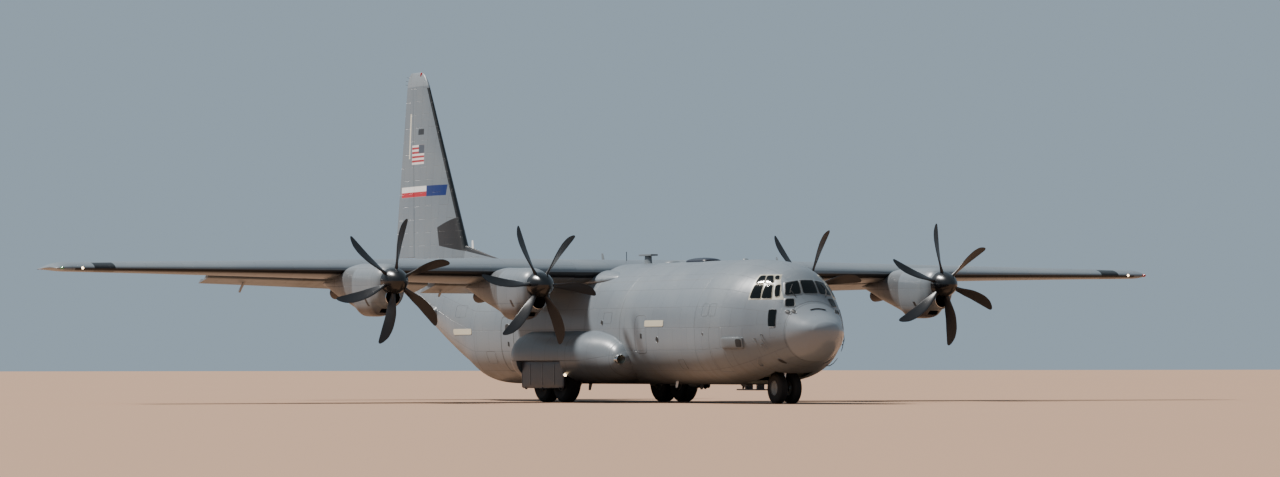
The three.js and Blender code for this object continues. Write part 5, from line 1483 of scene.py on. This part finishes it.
def cowl_marks(finish):
    """Soot on the rear of the cowls, oil below, a dark vent on each side, and the fairing behind the front
    cowl darkened by grime and by painted wing shadow.
    """
    dust = finish.clouds(0.8, 3.0, 3.0, 4.0)
    soot = finish.station.rises(13.9, 15.6) * finish.z.rises(4.0, 3.4) * dust.rises(0.25, 0.6) * 0.85
    # grime and painted wing shadow: the fairing aft of the front cowl, below the wing, is made darker
    rear = finish.station.rises(12.95, 12.99) * finish.z.rises(4.42, 4.25) * 0.6
    low = finish.station.within(11.3, 14.6, 0.5) * finish.z.rises(3.16, 2.96)
    oil = low * (0.45 + dust.rises(0.35, 0.7) * 0.4)
    lean = finish.station - (finish.z - 3.25) * 0.6
    vent = lean.within(11.84, 11.98, 0.008) * finish.z.within(3.13, 3.36, 0.008)
    return [(rear, rgb(66, 64, 63)), (oil, rgb(70, 50, 40)), (soot, rgb(40, 35, 32)), (vent, rgb(14, 14, 16))]


def cowl_lines(finish):
    """Joints between the cowl's front ring, its doors and the fairing behind them."""
    line = (abs(finish.station - 11.42)).rises(0.012, 0.004)
    for station in (12.95, 14.5):
        line = line.most((abs(finish.station - station)).rises(0.012, 0.004))
    return line


def plain_lining():
    """Green-grey paint with dark frames half a metre apart."""
    finish = Finish("cabin_lining")
    cloudy = finish.clouds(1.5, 1.5, 1.5, 4.0)
    frames = (abs((finish.station / 0.5).part() - 0.5)).rises(0.40, 0.47)
    colour = finish.shade(rgb(142, 148, 138), 0.9 + cloudy * 0.2 - frames * 0.25)
    return finish.surface(colour, 0.55 + (cloudy - 0.5) * 0.2, 0.0, frames * -1.0 + cloudy * 0.2, 0.006)


def simple(name, colour, rough, metallic=0.0, scale=20.0, vary=0.15, relief=0.0008, **fixed):
    """One finish with fine uneven tone and roughness."""
    finish = Finish(name)
    grain = finish.clouds(scale, scale, scale, 5.0, 0.6)
    broad = finish.clouds(1.3, 1.3, 1.3, 3.0)
    tone = 1.0 + (grain - 0.5) * vary + (broad - 0.5) * vary
    return finish.surface(finish.shade(colour, tone), rough + (grain - 0.5) * 0.12 + (broad - 0.5) * 0.12,
                          metallic, grain, relief, **fixed)


SKIN = {
    "hull": aircraft_paint("hull_paint", around_hull, (1.02, 0.64), hull_marks, hull_lines),
    "nose": aircraft_paint("nose_paint", around_hull, (1.02, 0.64), hull_marks, hull_lines),
    "radome": simple("radome_paint", rgb(118, 125, 131), 0.30, 0.0, 6.0, 0.08, 0.0005, Coat_Weight=0.35),
    "wing": aircraft_paint("wing_paint", along_wing, (1.25, 0.58), wing_marks, grime_and_belly_shade=0.6),
    "tailplane": aircraft_paint("tailplane_paint", along_wing, (1.05, 0.52), None, grime_and_belly_shade=0.6),
    "fin": aircraft_paint("fin_paint", up_fin, (0.95, 0.60), fin_marks, grime_and_belly_shade=0.6),
    "nacelle": aircraft_paint("cowl_paint", round_nacelle, (0.92, 0.56), cowl_marks, cowl_lines),
}
LINING = plain_lining()
DARK = simple("duct_black", rgb(22, 23, 24), 0.7)
GLASS = simple("window_glass", rgb(8, 12, 13), 0.06, 0.0, 1.0, 0.1, 0.0002, Alpha=0.9, Specular_IOR_Level=0.3)
CREAM = simple("cream_frames", rgb(166, 162, 146), 0.45)
FRAME_GREY = simple("frame_grey", rgb(98, 104, 108), 0.42)
SEAL = simple("black_seal", rgb(26, 27, 28), 0.6)
CHROME = simple("bright_metal", rgb(190, 192, 194), 0.22, 1.0, 30.0, 0.06)
STEEL = simple("bare_steel", rgb(140, 142, 144), 0.42, 0.9)
GLOSS_BLACK = simple("spinner_black", rgb(14, 14, 16), 0.26, 0.0, 4.0, 0.2, 0.0004, Coat_Weight=0.15)
BLADE_BLACK = simple("blade_black", rgb(30, 31, 34), 0.38)
DARK_PAINT = simple("gear_door_paint", rgb(26, 30, 42), 0.34, 0.0, 8.0, 0.2)
RUBBER = simple("tyre_rubber", rgb(30, 29, 29), 0.82, 0.0, 40.0, 0.25, 0.002)
HUB = simple("hub_paint", rgb(150, 152, 150), 0.45, 0.0, 14.0, 0.25)
WHITE = simple("leg_white", rgb(196, 197, 192), 0.35, 0.0, 12.0, 0.2)
STRIP = simple("light_strip", rgb(184, 178, 158), 0.4, 0.0, 6.0, 0.06)
PALE = simple("pale_metal", rgb(120, 122, 122), 0.35, 0.4, 20.0, 0.15)
WHITE_BLADE = simple("aerial_white", rgb(214, 215, 212), 0.4, 0.0, 20.0, 0.1)
HOT_METAL = simple("hot_metal", rgb(74, 64, 58), 0.52, 0.7, 9.0, 0.5)
LAMP = simple("lamp_warm", rgb(255, 236, 200), 0.2, 0.0, 20.0, 0.05, Emission_Color=(1.0, 0.72, 0.42, 1.0),
              Emission_Strength=6.0)
RED_LENS = simple("lens_red", rgb(150, 22, 22), 0.12, 0.0, 20.0, 0.1, Coat_Weight=0.5)
GREEN_LENS = simple("lens_green", rgb(20, 118, 70), 0.12, 0.0, 20.0, 0.1, Coat_Weight=0.5)


CUP_PITCH = 0.51


def cargo_deck():
    """Grey non-slip floor with steel roller rows, tie-down cups and scuffs."""
    finish = Finish("cargo_deck")
    rows = (abs(abs(finish.y) - 0.35)).rises(0.07, 0.065).most((abs(abs(finish.y) - 1.15)).rises(0.07, 0.065))
    rollers = (abs((finish.station / 0.26).part() - 0.5)).rises(0.30, 0.26) * rows
    down, over = [((way / CUP_PITCH).part() - 0.5) * CUP_PITCH for way in (finish.station, finish.y)]
    cups = (down * down + over * over).rises(0.0036, 0.003)
    scuff = finish.noise(finish.at(finish.station * 0.8, finish.y * 6.0), 5.0, 0.6)
    grain = finish.clouds(40.0, 40.0, 40.0, 3.0)
    colour = finish.shade(rgb(84, 88, 90), 0.85 + scuff * 0.3 + (grain - 0.5) * 0.15 - cups * 0.4)
    colour = finish.mix(rollers, colour, rgb(168, 170, 172))
    rough, height = 0.62 - rollers * 0.3 + (grain - 0.5) * 0.2, rollers + grain * 0.15 - cups
    return finish.surface(colour, rough, rollers * 0.8, height, 0.004)


def deck_room():
    """Grey floor, with dark trim above it for the seats, the console and the panel."""
    finish = Finish("deck_room")
    weave = finish.clouds(60.0, 60.0, 60.0, 4.0)
    raised = finish.z.rises(2.10, 2.12) * finish.station.rises(4.5, 4.4)
    colour = finish.mix(raised, rgb(86, 90, 90), rgb(38, 42, 44))
    return finish.surface(finish.shade(colour, 0.8 + weave * 0.4), 0.75 + (weave - 0.5) * 0.2, 0.0, weave,
                          0.002)


FLOOR_PAINT, DECK_ROOM = cargo_deck(), deck_room()

build_hull(SKIN, LINING)
build_windows(GLASS, CREAM, FRAME_GREY, SEAL)
build_wing(SKIN, STEEL)
build_tail(SKIN)
build_engines(SKIN, DARK, CHROME, GLOSS_BLACK, BLADE_BLACK, STEEL)
build_main_gear(SKIN, DARK_PAINT, LINING, RUBBER, HUB, WHITE, CHROME)
build_nose_gear(SKIN, RUBBER, HUB, WHITE, CHROME)
build_nose_fittings()
build_side_fittings()
build_aerials()
build_edges()
for node, material in [("cargo_floor", FLOOR_PAINT), ("flight_deck", DECK_ROOM)] + [
        (f"engine_block_{k}", STEEL) for k in (1, 2, 3, 4)]:
    frame["nodes"][node].data.materials.clear()
    frame["nodes"][node].data.materials.append(material)


# Stage: a plain pale floor, soft light and the camera, whose turn is its yaw, pitch and roll in radians

FLOOR_REACH = 600.0
SKY = {"colour": (0.47, 0.60, 0.72, 1.0), "strength": 0.66}
SUN = {"energy": 8.0, "angle": 8.0, "colour": (1.0, 0.965, 0.92), "from": (-0.42, -0.46, 0.80)}
CAMERA = {"lens": 157.51, "place": (171.3691, -81.2806, 1.1924), "turn": (2.6902, 0.0228, -0.001)}

def stage():
    """The floor, the sky's light, one soft sun and the camera at the photograph's viewing angle."""
    floor = bpy.data.objects.new("floor", bpy.data.meshes.new("floor"))
    reach = FLOOR_REACH
    floor.data.from_pydata([(-reach, -reach, 0), (reach, -reach, 0), (reach, reach, 0), (-reach, reach, 0)],
                           [], [(0, 1, 2, 3)])
    finish = Finish("pale_floor")
    cloudy = finish.noise(finish.at(finish.station * 0.02, finish.y * 0.02), 4.0)
    floor.data.materials.append(finish.surface(finish.shade(rgb(158, 124, 98), 0.97 + cloudy * 0.06), 0.9))
    bpy.context.scene.collection.objects.link(floor)
    world = bpy.data.worlds.new("sky")
    world.use_nodes = True
    for k, value in enumerate((SKY["colour"], SKY["strength"])):
        world.node_tree.nodes["Background"].inputs[k].default_value = value
    bpy.context.scene.world = world
    sun = bpy.data.objects.new("key", bpy.data.lights.new("key", "SUN"))
    sun.data.energy, sun.data.color = SUN["energy"], SUN["colour"]
    sun.data.angle = float(np.radians(SUN["angle"]))
    sun.rotation_euler = Vector(SUN["from"]).to_track_quat("Z", "Y").to_euler()
    bpy.context.scene.collection.objects.link(sun)
    camera = bpy.data.objects.new("camera", bpy.data.cameras.new("camera"))
    camera.data.lens, camera.data.sensor_width = CAMERA["lens"], 36.0
    camera.data.clip_end = 2000.0
    yaw, pitch, roll = CAMERA["turn"]
    ahead = np.array([np.cos(yaw) * np.cos(pitch), np.sin(yaw) * np.cos(pitch), np.sin(pitch)])
    right = np.cross(ahead, UPWARD)
    right /= np.linalg.norm(right)
    up = np.cross(right, ahead)
    right, up = right * np.cos(roll) + up * np.sin(roll), up * np.cos(roll) - right * np.sin(roll)
    matrix = np.eye(4)
    matrix[:3, 0], matrix[:3, 1], matrix[:3, 2] = right, up, -ahead
    matrix[:3, 3] = np.array(CAMERA["place"]) * SCALE
    camera.matrix_world = Matrix(matrix.tolist())
    bpy.context.scene.collection.objects.link(camera)
    bpy.context.scene.camera = camera


stage()
